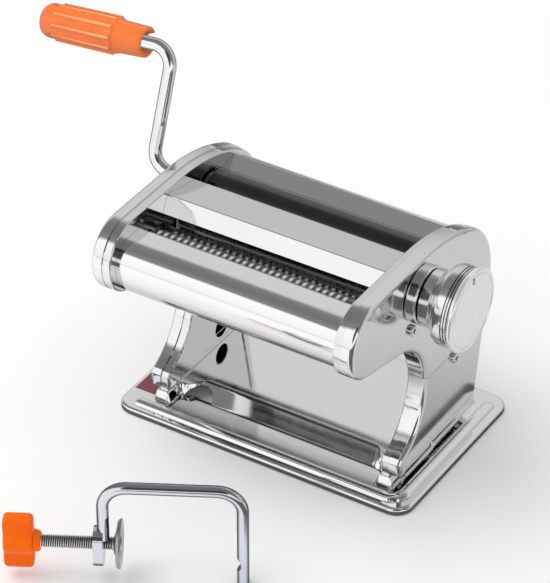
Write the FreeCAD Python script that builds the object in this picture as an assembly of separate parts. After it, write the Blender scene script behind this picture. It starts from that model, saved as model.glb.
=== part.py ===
"""Hand-cranked roller pasta machine with its removable crank and its table clamp.

Millimetres. Origin at the centre of the base's underside, +Z up, +X towards the dial, -Y towards the nose.
Each function builds one piece or one group of like pieces, and the list at the end writes them.
"""
import FreeCAD, Part
import math
import os
from FreeCAD import Vector

os.makedirs("parts", exist_ok=True)

X_AXIS = Vector(1, 0, 0)
Y_AXIS = Vector(0, 1, 0)
Z_AXIS = Vector(0, 0, 1)

# ---- base plate -------------------------------------------------------------------------------------------
base_x = 200.0              # overall width
base_y = 128.0              # overall depth
base_corner = 11.0
base_sheet = 1.2
foot_stand = 0.6            # rubber feet stand this far below the rim
ledge_z = 4.6               # top of the flat ledge
bead_width = 11.5
bead_height = 2.6
bead_inset = 8.6            # outer edge of the base to the middle of the bead
bead_end_gap = 8.0          # last stretch of ledge that the bead leaves flat at each end
bead_bend = 9.0             # radius of the bead's middle line at the corner
plateau_z = 11.2            # top of the raised middle
plateau_x = 83.2            # half width at its foot
plateau_rear = 52.0
plateau_front = 33.0
plateau_arm = 49.0          # the arms under the side frames reach this far forward
plateau_arm_width = 12.7
plateau_arm_radii = (3.6, 3.0)  # outer and inner corner at the arm's end
plateau_corner = 5.0        # hollow corner between front wall and arm
plateau_rear_corner = 8.0
plateau_draft = 1.5         # how far each wall leans in over its height
clamp_hole_x = -58.7
clamp_hole_width = 18.6
clamp_hole_height = 5.4
clamp_hole_depth = 14.0
rubber_foot_r = 5.5
rubber_foot_spots = ((-52.0, -41.5), (52.0, -41.5), (-78.0, 57.0), (78.0, 57.0))
label_x = (-97.2, -83.4)
label_y = (-45.0, -5.0)
label_thick = 0.3

# ---- side frames and covers (outline in the YZ plane) -----------------------------------------------------
frame_in = 73.5             # inner face of each side frame's web
frame_web = 2.0
frame_seam = 78.8           # where frame flange and cover rim meet
cover_face = 86.5           # outer face of the covers
cover_sheet = 1.0
cover_round = 3.0
flange_sheet = 1.5
flange_step = 0.5           # flange lies this far inside the cover's rim
seam_gap = 0.1
nose_y = -78.5
nose_z = 132.0
nose_r = 23.5
jaw_slope = 0.20            # fall of the head's lower edge towards the back
arch_y = -58.2
arch_r = 41.0
arch_end = 68.5             # degrees below level at which the arch runs into the toe
toe_y = -45.2
crown_y = -25.0             # the straight crown ends here
crown_r = 130.0
shoulder_y = 34.0           # crown arc gives way to the shoulder arc here
shoulder_r = 44.0
back_slope = 0.18           # lean of the rear edge
split_z = 66.0              # lower edge of the head cover
split_y = 17.0              # the leg panel climbs behind this line
split_high_z = 98.0
split_gap = 0.25
leg_clear = 1.8             # leg panel ends this far above the plateau
leg_hole = (15.0, 21.5)
leg_hole_r = 6.8
emboss_depth = 0.7          # raised panel of the leg's web
emboss_points = ((-6.0, 13.6), (-6.0, 74.0), (49.5, 74.0), (37.0, 13.6))
emboss_corner = 7.0

# ---- sheets between the frames ----------------------------------------------------------------------------
sheet = 1.0
sheet_side_gap = 0.1
hopper_top_y = 29.6         # the hopper's back wall hangs down from here towards the fixed roller
hopper_foot_y = 17.0
hopper_foot_z = 136.6
rear_inset = 3.5
rear_foot_z = 91.0
rear_lip = 6.7              # turned-in foot of the rear cover
ridge_y = -41.5
ridge_z = 151.2
guide_rear_y = -13.2
guide_rear_z = 145.4
guide_foot_y = -46.5
guide_foot_z = 140.8
strip_z = 144.8
strip_rear_y = -71.2
strip_lip = 3.5             # depth of the strip's turned-down rear edge
snout_cy = -64.0
snout_cz = 134.0
snout_r = 32.0
snout_fillet = 14.0
snout_end_angle = 228.0
snout_lip_y = -73.0
snout_lip = 1.4

# ---- rollers ----------------------------------------------------------------------------------------------
roller_r = 12.5
roller_half = 71.5
axis_z = 129.5
fixed_y = 5.2
gap_open = 2.2              # roller gap at the first setting
gap_shut = 0.2
journal_r = 6.0
bush_wall = 3.0
bush_flange = 1.2
run_clear = 0.04            # radial running clearance of every journal
gear_teeth = 12
gear_pressure = 20.0        # pressure angle of the roller gears
gear_x = (78.9, 83.5)
gear_backlash = 0.3         # play between the teeth of a pair at the pitch circle
block_half_y = 9.0
block_top = 8.0
block_bottom = 24.0
block_clear = 0.15
yoke_y = 10.0
yoke_z = 6.0
block_x = (72.2, 77.2)
lug_half_z = 4.0
scraper_gap = 0.35          # blade's tip to the roller
travel = gap_open - gap_shut
adj_y = fixed_y - 2 * roller_r - gap_open

# ---- cutters ----------------------------------------------------------------------------------------------
cut_front = (-64.0, 132.0)
cut_rear = (-49.0, 125.0)
ring_r = 9.5
core_r = 6.6
ring_pitch = 4.4
ring_width = 2.0
ring_half_span = 66.0
cut_journal_r = 4.5
cut_drive_r = 6.3
cut_bush_wall = 2.0
cut_teeth = 12
cut_pressure = 25.0

# ---- crank ------------------------------------------------------------------------------------------------
rod_r = 4.0
socket_clear = 0.08
socket_depth = 15.0
socket_boss_r = 7.6
socket_end = 86.3
crank_plane = 115.5         # distance of the arm's plane from the middle
crank_lean = 20.0           # degrees from upright
crank_throw = 73.0
crank_droop = 4.8           # degrees the handle rod points down along the arm
crank_bend_r = 12.0
drive_pin_r = 1.2
drive_pin_half = 6.6
drive_slot = 2.8
drive_slot_depth = 2.8
bezel_bore = 9.0
grip_start = 17.5           # along the handle rod from the bend's corner
grip_length = 73.0
grip_neck_r = 9.4
grip_body_r = 12.0
grip_bore_clear = 0.12

# ---- dial -------------------------------------------------------------------------------------------------
collar_r = 17.8
collar_end = 90.0
dial_start = 91.0
dial_shaft_r = 4.0
dial_bush_r = 7.0
dial_neck_r = 17.6
dial_drum_r = 24.6
dial_neck_end = 99.0
dial_drum_start = 105.0
dial_drum_end = 113.4
dial_groove = (111.4, 112.2)
dial_cap_r = 25.6
dial_cap_end = 117.2
dial_pull = 4.0
dial_turn = 270.0
cam_r = 7.0
cam_x = (78.4, 81.4)
cam_clear = 0.1

# ---- clamp ------------------------------------------------------------------------------------------------
clamp_rod_r = 3.5
clamp_origin = (51.1, -158.2)   # middle of the hook leg's end on the table
clamp_angle = 28.5              # degrees of the clamp's plane from +X
clamp_height = 64.6             # middle of the back above the table
clamp_span = 78.0               # between the middles of the two legs
clamp_bend_r = 14.0
clamp_short_end = 11.0          # lower end of the threaded leg above the table
clamp_screw_z = 24.8
clamp_screw_r = 3.95
clamp_thread_clear = 0.05
clamp_eye_half = 7.4
clamp_eye_thick = 5.6
clamp_eye_shift = 2.6           # the flattened eye stands this far outwards of the leg's middle
clamp_pad_r = 14.4
clamp_pad_near = 6.0            # pad's back face from the leg's middle
clamp_knob_far = 56.0           # knob's outer end from the leg's middle
clamp_knob_span = 17.2
clamp_knob_thick = 9.0
clamp_hook_z = 14.0

# ---- small fixings ----------------------------------------------------------------------------------------
tie_r = 4.0
tie_spots = ((-82.0, 124.0), (40.0, 108.0), (30.0, 60.0), (-35.5, 142.3))
tie_end_r = 2.5
nut_flat = 8.0
nut_thick = 3.2
screw_spots = ((-37.0, 113.8), (14.5, 62.3))
screw_head_r = 3.4
screw_head_h = 2.2
screw_shank_r = 1.9
pillar_r = 3.6
tab_reach = 80.3
tab_y = (-34.0, 34.0)
tab_half = 4.0
tab_thick = 1.5
tab_x = 78.4
foot_screw_r = 1.5
screw_clear = 0.2
foot_head_r = 2.2
foot_head_h = 1.6
foot_nut_flat = 5.5
foot_nut_thick = 2.4
foot_notch = 4.4


def box(x0, x1, y0, y1, z0, z1):
    return Part.makeBox(x1 - x0, y1 - y0, z1 - z0, Vector(x0, y0, z0))


def rod_x(x0, x1, y, z, r):
    return Part.makeCylinder(r, x1 - x0, Vector(x0, y, z), X_AXIS)


def upright(r, height, x, y, z):
    return Part.makeCylinder(r, height, Vector(x, y, z), Z_AXIS)


def tube_x(x0, x1, y, z, r, bore):
    return rod_x(x0, x1, y, z, r).cut(rod_x(x0 - 1, x1 + 1, y, z, bore))


def at_x(points):
    return [Vector(0, y, z) for y, z in points]


def prism_x(face, x0, x1):
    moved = face.copy()
    moved.translate(Vector(x0, 0, 0))
    return moved.extrude(Vector(x1 - x0, 0, 0))


def polygon_face(points):
    return Part.Face(Part.makePolygon(points + [points[0]]))


def mirrored(shape):
    return shape.mirror(Vector(0, 0, 0), X_AXIS)


def arc_edge(cy, cz, r, start, end):
    """Arc in the YZ plane about (cy, cz), angles in degrees from +Y towards +Z."""
    angles = [math.radians(a) for a in (start, (start + end) / 2, end)]
    p = [Vector(0, cy + r * math.cos(a), cz + r * math.sin(a)) for a in angles]
    return Part.Arc(p[0], p[1], p[2]).toShape()


def line_edge(a, b):
    return Part.makeLine(a, b)


def rounded_polygon(points, radii, z):
    """Closed wire at height z through plan points, each corner rounded by its own radius."""
    edges = []
    count = len(points)
    starts = []
    ends = []
    mids = []
    for i in range(count):
        p = Vector(points[i][0], points[i][1], z)
        a = Vector(points[i - 1][0], points[i - 1][1], z) - p
        b = Vector(points[(i + 1) % count][0], points[(i + 1) % count][1], z) - p
        a.normalize()
        b.normalize()
        half = a.getAngle(b) / 2
        back = radii[i] / math.tan(half)
        middle = a + b
        middle.normalize()
        centre = p + middle * (radii[i] / math.sin(half))
        starts.append(p + a * back)
        ends.append(p + b * back)
        mids.append(centre - middle * radii[i])
    for i in range(count):
        edges.append(Part.Arc(starts[i], mids[i], ends[i]).toShape())
        edges.append(line_edge(ends[i], starts[(i + 1) % count]))
    return Part.Wire(edges)


# ---- base -------------------------------------------------------------------------------------------------
def plateau_wire(inset, z):
    side = plateau_x - inset
    inner = plateau_x - plateau_arm_width + inset
    front = -plateau_front + inset
    arm = -plateau_arm + inset
    rear = plateau_rear - inset
    points = [(-side, arm), (-inner, arm), (-inner, front), (inner, front), (inner, arm), (side, arm),
              (side, rear), (-side, rear)]
    arm_end = list(plateau_arm_radii)
    radii = arm_end + [plateau_corner, plateau_corner] + arm_end[::-1] + [plateau_rear_corner] * 2
    return rounded_polygon(points, radii, z)


def plateau_solid(inset, z_low, z_top):
    low = plateau_wire(inset, z_low)
    top = plateau_wire(inset + plateau_draft, z_top)
    return Part.makeLoft([low, top], True, True)


def bead_profile(drop, whole):
    """Upright section of the bead about its middle line; whole for both halves, else the outer half alone."""
    r = (bead_width ** 2 / 4 + bead_height ** 2) / (2 * bead_height)
    centre_z = ledge_z + bead_height - r
    r = r - drop
    half = math.sqrt(r ** 2 - (ledge_z - centre_z) ** 2)
    low = ledge_z - base_sheet / 2 - drop
    top = Vector(0, 0, centre_z + r)
    outer = Vector(half, 0, ledge_z)
    inner = Vector(-half, 0, ledge_z)
    over = top
    foot = -half
    if not whole:
        inner = top
        over = Vector(half * 0.5, 0, centre_z + math.sqrt(r ** 2 - half ** 2 * 0.25))
        foot = 0
    edges = [Part.Arc(inner, over, outer).toShape(), line_edge(outer, Vector(half, 0, low)),
             line_edge(Vector(half, 0, low), Vector(foot, 0, low)), line_edge(Vector(foot, 0, low), inner)]
    return Part.Face(Part.Wire(edges))


def bead_solid(drop):
    """L-shaped bead along the front and the dial side; drop makes the thinner copy for its hollow."""
    front_y = -base_y / 2 + bead_inset
    side_x = base_x / 2 - bead_inset
    first = -base_x / 2 + bead_end_gap + bead_width / 2
    last = base_y / 2 - bead_end_gap - bead_width / 2
    turn_x = side_x - bead_bend
    turn_y = front_y + bead_bend
    side_face = bead_profile(drop, True)
    side_face.translate(Vector(side_x, turn_y, 0))
    side = side_face.extrude(Vector(0, last - turn_y, 0))
    corner = side_face.revolve(Vector(turn_x, turn_y, 0), Z_AXIS, -90)
    front_face = bead_profile(drop, True)
    front_face.rotate(Vector(0, 0, 0), Z_AXIS, -90)
    front_face.translate(Vector(first, front_y, 0))
    front = front_face.extrude(Vector(turn_x - first, 0, 0))
    side_end = bead_profile(drop, False).revolve(Vector(0, 0, 0), Z_AXIS, 180)
    side_end.translate(Vector(side_x, last, 0))
    front_end = bead_profile(drop, False).revolve(Vector(0, 0, 0), Z_AXIS, 180)
    front_end.rotate(Vector(0, 0, 0), Z_AXIS, 90)
    front_end.translate(Vector(first, front_y, 0))
    return front.multiFuse([corner, side, side_end, front_end])


def base_plate():
    hx = base_x / 2
    hy = base_y / 2
    rim = [(-hx, -hy), (hx, -hy), (hx, hy), (-hx, hy)]
    outline = Part.Face(rounded_polygon(rim, [base_corner] * 4, foot_stand))
    slab = outline.extrude(Vector(0, 0, ledge_z - foot_stand))
    top_edges = [e for e in slab.Edges if e.BoundBox.ZMin > ledge_z - 0.01]
    slab = slab.makeFillet(1.4, top_edges)
    inner_rim = [(x - math.copysign(base_sheet, x), y - math.copysign(base_sheet, y)) for x, y in rim]
    inner_outline = Part.Face(rounded_polygon(inner_rim, [base_corner - base_sheet] * 4, -1))
    hollow = inner_outline.extrude(Vector(0, 0, ledge_z - base_sheet + 1))
    body = slab.multiFuse([plateau_solid(0, ledge_z - 1, plateau_z), bead_solid(0)])
    raised = plateau_solid(base_sheet, ledge_z - base_sheet - 1, plateau_z - base_sheet)
    body = body.cut(hollow.multiFuse([raised, bead_solid(base_sheet)]))
    squash = FreeCAD.Matrix()
    squash.scale(1, 1, clamp_hole_height / (clamp_hole_width / 2))
    mouth = Part.makeCylinder(clamp_hole_width / 2, clamp_hole_depth, Vector(0, 0, 0), Y_AXIS)
    mouth = mouth.common(box(-30, 30, -20, 20, 0, 30)).transformGeometry(squash)
    mouth.translate(Vector(clamp_hole_x, -plateau_front - 4, ledge_z))
    body = body.cut(mouth)
    for spot_y in tab_y:
        for side in (-1, 1):
            body = body.cut(upright(foot_screw_r + screw_clear, 10, side * tab_x, spot_y, 6))
    return body.removeSplitter()


def rubber_feet():
    top = ledge_z - base_sheet
    feet = []
    for x, y in rubber_foot_spots:
        feet.append(Part.makeCone(rubber_foot_r - 0.8, rubber_foot_r, top, Vector(x, y, 0), Z_AXIS))
    return feet


def base_label():
    return box(label_x[0], label_x[1], label_y[0], label_y[1], ledge_z, ledge_z + label_thick)


# ---- outline of the side frames ---------------------------------------------------------------------------
slope_angle = math.degrees(math.atan(jaw_slope))
arch_z = nose_z - (nose_r + arch_r) * math.sqrt(1 + jaw_slope ** 2) - jaw_slope * (arch_y - nose_y)
toe_z = arch_z - arch_r * math.sin(math.radians(arch_end))
crown_z = nose_z + nose_r
crown_centre_z = crown_z - crown_r
crown_end_angle = math.degrees(math.acos((shoulder_y - crown_y) / crown_r))
shoulder_cy = shoulder_y - shoulder_r * math.cos(math.radians(crown_end_angle))
shoulder_cz = crown_centre_z + (crown_r - shoulder_r) * math.sin(math.radians(crown_end_angle))
back_angle = -math.degrees(math.atan(back_slope))


def outline_face(foot_z):
    """P-shaped outline: nose, crown, shoulder, leaning back, foot, toe, arch and jaw line."""
    crown = line_edge(Vector(0, crown_y, crown_z), Vector(0, nose_y, crown_z))
    nose = arc_edge(nose_y, nose_z, nose_r, 90, 270 - slope_angle)
    arch = arc_edge(arch_y, arch_z, arch_r, 90 - slope_angle, -arch_end)
    jaw = line_edge(nose.Vertexes[-1].Point, arch.Vertexes[0].Point)
    toe_top = Vector(0, toe_y, toe_z - 3)
    toe = line_edge(arch.Vertexes[-1].Point, toe_top)
    toe_low = Vector(0, toe_y, foot_z)
    front = line_edge(toe_top, toe_low)
    shoulder = arc_edge(shoulder_cy, shoulder_cz, shoulder_r, back_angle, crown_end_angle)
    back_top = shoulder.Vertexes[0].Point
    back_low = Vector(0, back_top.y - (back_top.z - foot_z) * back_slope, foot_z)
    foot = line_edge(toe_low, back_low)
    back = line_edge(back_low, back_top)
    crown_arc = arc_edge(crown_y, crown_centre_z, crown_r, crown_end_angle, 90)
    return Part.Face(Part.Wire([nose, jaw, arch, toe, front, foot, back, shoulder, crown_arc, crown]))


def inset_face(face, distance):
    if distance == 0:
        return face
    return face.makeOffset2D(-distance, 0, False, False, False)


def side_frame():
    outline = outline_face(plateau_z)
    plate_face = inset_face(outline, flange_step)
    plate_face.translate(Vector(0, 0, -flange_step))
    foot = box(0, 200, -200, 200, 0, plateau_z)
    solid = prism_x(plate_face, frame_in, frame_seam).cut(foot)
    web_edges = [e for e in solid.Edges if e.BoundBox.XMax < frame_in + 0.01]
    web_edges = [e for e in web_edges if e.BoundBox.ZMin > plateau_z]
    solid = solid.makeFillet(1.0, web_edges)
    pocket_face = inset_face(plate_face, flange_sheet)
    pocket = prism_x(pocket_face, frame_in + frame_web, frame_seam + 1)
    floor_sheet = box(0, 200, -200, 200, 0, plateau_z + flange_sheet)
    solid = solid.cut(pocket.cut(floor_sheet))
    for spot_y in tab_y:
        tab = box(frame_seam - 1, tab_reach, spot_y - tab_half, spot_y + tab_half, plateau_z,
                  plateau_z + tab_thick)
        solid = solid.fuse(tab)
        solid = solid.cut(upright(foot_screw_r + screw_clear, 8, tab_x, spot_y, plateau_z - 2))
        solid = solid.cut(box(frame_in + frame_web, frame_seam + 5, spot_y - foot_notch, spot_y + foot_notch,
                              plateau_z + flange_sheet, plateau_z + 9))
    solid = solid.cut(rod_x(60, 90, fixed_y, axis_z, journal_r + bush_wall))
    return solid


def web_cuts_common():
    cuts = [box(60, 90, adj_y - block_half_y - block_clear, adj_y + block_half_y + travel + block_clear,
                axis_z - block_bottom - block_clear, axis_z + block_top + block_clear)]
    cuts.append(rod_x(60, 90, cut_front[0], cut_front[1], cut_journal_r + cut_bush_wall))
    for y, z in tie_spots:
        cuts.append(rod_x(60, 90, y, z, tie_end_r + 0.1))
    cuts.append(rod_x(60, 90, leg_hole[0], leg_hole[1], leg_hole_r))
    return cuts


def emboss():
    """Shallow pressed panel in the leg's web, seen from between the frames."""
    solid = polygon_face(at_x(emboss_points)).extrude(Vector(1 + emboss_depth, 0, 0))
    solid.translate(Vector(frame_in - 1, 0, 0))
    return solid.makeFillet(emboss_corner, [e for e in solid.Edges if e.BoundBox.XLength > 1])


def side_frame_right():
    solid = side_frame().cut(emboss())
    for cut in web_cuts_common():
        solid = solid.cut(cut)
    return solid.cut(rod_x(60, 90, cut_rear[0], cut_rear[1], cut_journal_r + cut_bush_wall))


def side_frame_left():
    solid = side_frame().cut(emboss())
    for cut in web_cuts_common():
        solid = solid.cut(cut)
    return mirrored(solid.cut(rod_x(60, 90, cut_rear[0], cut_rear[1], cut_drive_r + cut_bush_wall)))


def cover_tray(foot_z):
    """Whole pressed tray over one side frame, before it is parted into head cover and leg panel."""
    outer_face = outline_face(foot_z)
    low = frame_seam + seam_gap
    outer = prism_x(outer_face, low, cover_face)
    rim = [e for e in outer.Edges if e.BoundBox.XMin > cover_face - 0.01]
    outer = outer.makeFillet(cover_round, rim)
    inner_face = inset_face(outer_face, cover_sheet)
    inner = prism_x(inner_face, low - 1, cover_face - cover_sheet)
    rim = [e for e in inner.Edges if e.BoundBox.XMin > cover_face - cover_sheet - 0.01]
    inner = inner.makeFillet(cover_round - cover_sheet, rim)
    return outer.cut(inner)


def leg_region(grow):
    low = box(0, 200, -200, 200, -50, split_z + grow)
    high = box(0, 200, split_y - grow, 200, -50, split_high_z + grow)
    return low.fuse(high)


def head_cover():
    shell = cover_tray(plateau_z + leg_clear).cut(leg_region(split_gap / 2))
    upper = screw_spots[0]
    return shell.cut(rod_x(60, 100, upper[0], upper[1], screw_shank_r + 0.2))


def head_cover_right():
    return head_cover().cut(rod_x(60, 100, adj_y, axis_z, dial_bush_r))


def head_cover_left():
    cover = head_cover().cut(rod_x(60, 100, fixed_y, axis_z, bezel_bore))
    return mirrored(cover.cut(rod_x(60, 100, cut_rear[0], cut_rear[1], bezel_bore)))


def leg_panel():
    shell = cover_tray(plateau_z + leg_clear).common(leg_region(-split_gap / 2))
    for spot_y in tab_y:
        shell = shell.cut(box(frame_seam, tab_x + 3.2, spot_y - foot_notch, spot_y + foot_notch, plateau_z,
                              plateau_z + leg_clear + cover_sheet + 0.2))
    lower = screw_spots[1]
    return shell.cut(rod_x(60, 100, lower[0], lower[1], screw_shank_r + 0.2))


# ---- sheets between the frames ----------------------------------------------------------------------------
sheet_half = frame_in - sheet_side_gap


def ribbon(points, x_half):
    """Bent strip of constant thickness: the flat outline is given, and it spans between the frames."""
    face = polygon_face([Vector(-x_half, y, z) for y, z in points])
    return face.extrude(Vector(2 * x_half, 0, 0))


def rear_cover():
    """Hopper's sloping back wall, rolled over at the top and carried down the back."""
    outline = outline_face(plateau_z)
    outer = prism_x(inset_face(outline, rear_inset), -sheet_half, sheet_half)
    inner = prism_x(inset_face(outline, rear_inset + sheet), -sheet_half - 1, sheet_half + 1)
    band = outer.cut(inner).common(box(-90, 90, hopper_top_y, 90, rear_foot_z, 170))
    top_z = crown_centre_z + math.sqrt((crown_r - rear_inset) ** 2 - (hopper_top_y - crown_y) ** 2)
    foot = Vector(0, hopper_foot_y, hopper_foot_z)
    top = Vector(0, hopper_top_y, top_z - 0.2)
    slope = (top - foot).normalize()
    under = Vector(0, slope.z, -slope.y) * sheet
    wall = ribbon([(p.y, p.z) for p in (foot, foot + under, top + under, top)], sheet_half)
    joined = band.fuse(wall)
    lip_y = lip_start(rear_foot_z)
    lip = box(-sheet_half, sheet_half, lip_y - rear_lip, lip_y, rear_foot_z, rear_foot_z + sheet)
    return joined.fuse(lip).removeSplitter()


def lip_start(z):
    back_top_y = shoulder_cy + shoulder_r * math.cos(math.radians(back_angle))
    back_top_z = shoulder_cz + shoulder_r * math.sin(math.radians(back_angle))
    edge = back_top_y - (back_top_z - z) * back_slope
    return edge - rear_inset / math.cos(math.radians(back_angle)) - sheet / 2


def centre_guide():
    """Roof-shaped sheet: the long rear slope feeds the rollers, the steep front wall feeds the cutters."""
    slope = Vector(0, guide_rear_y - ridge_y, guide_rear_z - ridge_z)
    slope.normalize()
    wall = Vector(0, guide_foot_y - ridge_y, guide_foot_z - ridge_z)
    wall.normalize()
    bisector = slope + wall
    bisector.normalize()
    inner = Vector(0, ridge_y, ridge_z) + bisector * (sheet / math.sin(slope.getAngle(wall) / 2))
    slope_side = Vector(0, slope.z, -slope.y)
    wall_side = Vector(0, -wall.z, wall.y)
    rear = Vector(0, guide_rear_y, guide_rear_z)
    foot = Vector(0, guide_foot_y, guide_foot_z)
    rear_in = rear + slope_side * sheet
    foot_in = foot + wall_side * sheet
    points = [foot, Vector(0, ridge_y, ridge_z), rear, rear_in, inner, foot_in]
    solid = ribbon([(p.y, p.z) for p in points], sheet_half)
    ridge = [e for e in solid.Edges if abs(e.BoundBox.YMin - ridge_y) < 0.01 and e.BoundBox.YLength < 0.01
             and abs(e.BoundBox.ZMax - ridge_z) < 0.01 and e.BoundBox.XLength > 10]
    return solid.makeFillet(0.9, ridge)


def snout_face(shrink):
    """Side view of the front cover's outside: flat strip, rounded corner, round snout and lower lip."""
    r = snout_r - shrink
    f = snout_fillet - shrink
    z = strip_z - shrink
    dz = z - f - snout_cz
    fy = snout_cy - math.sqrt((r - f) ** 2 - dz ** 2)
    corner_angle = 180 - math.degrees(math.asin(dz / (r - f)))
    corner = arc_edge(fy, z - f, f, 90, corner_angle)
    snout = arc_edge(snout_cy, snout_cz, r, corner_angle, snout_end_angle)
    start = Vector(0, strip_rear_y, z)
    end = snout.Vertexes[-1].Point
    lip = Vector(0, snout_lip_y, end.z - snout_lip)
    edges = [line_edge(start, corner.Vertexes[0].Point), corner, snout, line_edge(end, lip),
             line_edge(lip, Vector(0, strip_rear_y, lip.z)), line_edge(Vector(0, strip_rear_y, lip.z), start)]
    return Part.Face(Part.Wire(edges))


def front_cover():
    outer = prism_x(snout_face(0), -sheet_half, sheet_half)
    inner = prism_x(snout_face(sheet), -sheet_half - 1, sheet_half + 1)
    shell = outer.cut(inner)
    lip_z = snout_cz + snout_r * math.sin(math.radians(snout_end_angle)) - snout_lip
    gate = box(-90, 90, snout_lip_y, -20, lip_z - 5, strip_z - strip_lip)
    shell = shell.cut(gate)
    turn_down = box(-sheet_half, sheet_half, strip_rear_y - sheet, strip_rear_y, strip_z - strip_lip,
                    strip_z - sheet)
    return shell.fuse(turn_down).removeSplitter()


# ---- ties, screws and pillars -----------------------------------------------------------------------------
def tie_rods():
    rods = []
    for y, z in tie_spots:
        r = tie_r if y < adj_y - 20 or y > fixed_y else 3.0
        body = rod_x(-frame_in, frame_in, y, z, r)
        ends = rod_x(-frame_in - frame_web - nut_thick - 0.8, frame_in + frame_web + nut_thick + 0.8, y, z,
                     tie_end_r)
        rods.append(body.fuse(ends))
    return rods


def hex_nut(x0, x1, y, z, bore):
    corner_r = nut_flat / math.sqrt(3)
    points = []
    for k in range(6):
        a = math.radians(60 * k)
        points.append(Vector(x0, y + corner_r * math.cos(a), z + corner_r * math.sin(a)))
    return polygon_face(points).extrude(Vector(x1 - x0, 0, 0)).cut(rod_x(x0 - 1, x1 + 1, y, z, bore))


def tie_nuts():
    nuts = []
    outer = frame_in + frame_web
    for y, z in tie_spots:
        nut = hex_nut(outer, outer + nut_thick, y, z, tie_end_r)
        nuts.append(nut)
        nuts.append(mirrored(nut))
    return nuts


def cover_screw(spot):
    y, z = spot
    head = Part.makeCylinder(screw_head_r, screw_head_h, Vector(cover_face, y, z), X_AXIS)
    top = [e for e in head.Edges if e.BoundBox.XMin > cover_face + screw_head_h - 0.01 and e.Closed]
    head = head.makeFillet(1.1, top)
    shank = rod_x(frame_in + frame_web + 2, cover_face, y, z, screw_shank_r)
    arm = 1.9
    wide = 0.45
    deep = cover_face + screw_head_h - 1.2
    far = cover_face + screw_head_h + 1
    cross = box(deep, far, y - arm, y + arm, z - wide, z + wide)
    cross = cross.fuse(box(deep, far, y - wide, y + wide, z - arm, z + arm))
    return head.fuse(shank).cut(cross)


def cover_screws():
    return [cover_screw(spot) for spot in screw_spots]


def cover_pillars():
    return [tube_x(frame_in + frame_web, cover_face - cover_sheet, y, z, pillar_r, screw_shank_r)
            for y, z in screw_spots]


def foot_screws():
    """Screws from under the base through the frames' foot tabs, with their nuts on top."""
    fixings = []
    under = plateau_z - base_sheet
    top = plateau_z + tab_thick
    for spot_y in tab_y:
        for side in (-1, 1):
            x = side * tab_x
            reach = top + foot_nut_thick + 0.5 - under
            shank = upright(foot_screw_r, reach, x, spot_y, under)
            head = upright(foot_head_r, foot_head_h, x, spot_y, under - foot_head_h)
            fixings.append(shank.fuse(head))
    return fixings


def foot_nuts():
    nuts = []
    top = plateau_z + tab_thick
    for spot_y in tab_y:
        for side in (-1, 1):
            x = side * tab_x
            points = []
            for k in range(6):
                a = math.radians(60 * k + 30)
                r = foot_nut_flat / math.sqrt(3)
                points.append(Vector(x + r * math.cos(a), spot_y + r * math.sin(a), top))
            nut = polygon_face(points).extrude(Vector(0, 0, foot_nut_thick))
            nuts.append(nut.cut(upright(foot_screw_r, 8, x, spot_y, top - 2)))
    return nuts


# ---- bushes -----------------------------------------------------------------------------------------------
def bush(y, z, shaft_r, wall):
    body = rod_x(frame_in, frame_in + frame_web + 2.4, y, z, shaft_r + wall)
    flange = rod_x(frame_in - bush_flange, frame_in, y, z, shaft_r + wall + 0.6)
    return body.fuse(flange).cut(rod_x(60, 90, y, z, shaft_r + run_clear))


def roller_bushes():
    one = bush(fixed_y, axis_z, journal_r, bush_wall)
    return [one, mirrored(one)]


def cutter_bushes():
    front = bush(cut_front[0], cut_front[1], cut_journal_r, cut_bush_wall)
    rear = bush(cut_rear[0], cut_rear[1], cut_journal_r, cut_bush_wall)
    rear_drive = bush(cut_rear[0], cut_rear[1], cut_drive_r, cut_bush_wall)
    return [front, mirrored(front), rear, mirrored(rear_drive)]


# ---- gears ------------------------------------------------------------------------------------------------
def involute(angle):
    return math.tan(angle) - angle


def gear_face(y, z, teeth, pitch_r, addendum, dedendum, pressure, phase):
    """Involute gear about (y, z); a tooth's middle stands at phase degrees from +Y."""
    base_r = pitch_r * math.cos(math.radians(pressure))
    root = pitch_r - dedendum
    tip = pitch_r + addendum
    half = math.pi / (2 * teeth) - gear_backlash / (4 * pitch_r) + involute(math.radians(pressure))
    flank = [(root, half)]
    for k in range(6):
        r = base_r + (tip - base_r) * k / 5
        flank.append((r, half - involute(math.acos(base_r / r))))
    points = []
    for k in range(teeth):
        middle = math.radians(phase) + 2 * math.pi * k / teeth
        for r, offset in flank:
            a = middle - offset
            points.append(Vector(0, y + r * math.cos(a), z + r * math.sin(a)))
        for r, offset in reversed(flank):
            a = middle + offset
            points.append(Vector(0, y + r * math.cos(a), z + r * math.sin(a)))
    return polygon_face(points)


roller_pitch_r = roller_r + gap_shut / 2
roller_module = 2 * roller_pitch_r / gear_teeth


def roller_gear(y, phase):
    face = gear_face(y, axis_z, gear_teeth, roller_pitch_r, roller_module * 0.95, roller_module * 1.2,
                     gear_pressure, phase)
    return prism_x(face, gear_x[0], gear_x[1]).cut(rod_x(60, 90, y, axis_z, journal_r))


def drive_gear():
    return mirrored(roller_gear(fixed_y, 180.0))


def driven_gear():
    return mirrored(roller_gear(adj_y, 180.0 / gear_teeth))


cut_dy = cut_rear[0] - cut_front[0]
cut_dz = cut_rear[1] - cut_front[1]
cut_distance = math.hypot(cut_dy, cut_dz)
cut_line = math.degrees(math.atan2(cut_dz, cut_dy))


def cutter_gear(spot, phase):
    pitch_r = cut_distance / 2
    module = 2 * pitch_r / cut_teeth
    face = gear_face(spot[0], spot[1], cut_teeth, pitch_r, module * 0.85, module * 1.15, cut_pressure, phase)
    return prism_x(face, gear_x[0], gear_x[1]).cut(rod_x(60, 90, spot[0], spot[1], cut_journal_r))


def cutter_gear_rear():
    return cutter_gear(cut_rear, cut_line + 180.0)


def cutter_gear_front():
    return cutter_gear(cut_front, cut_line + 180.0 / cut_teeth)


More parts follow.
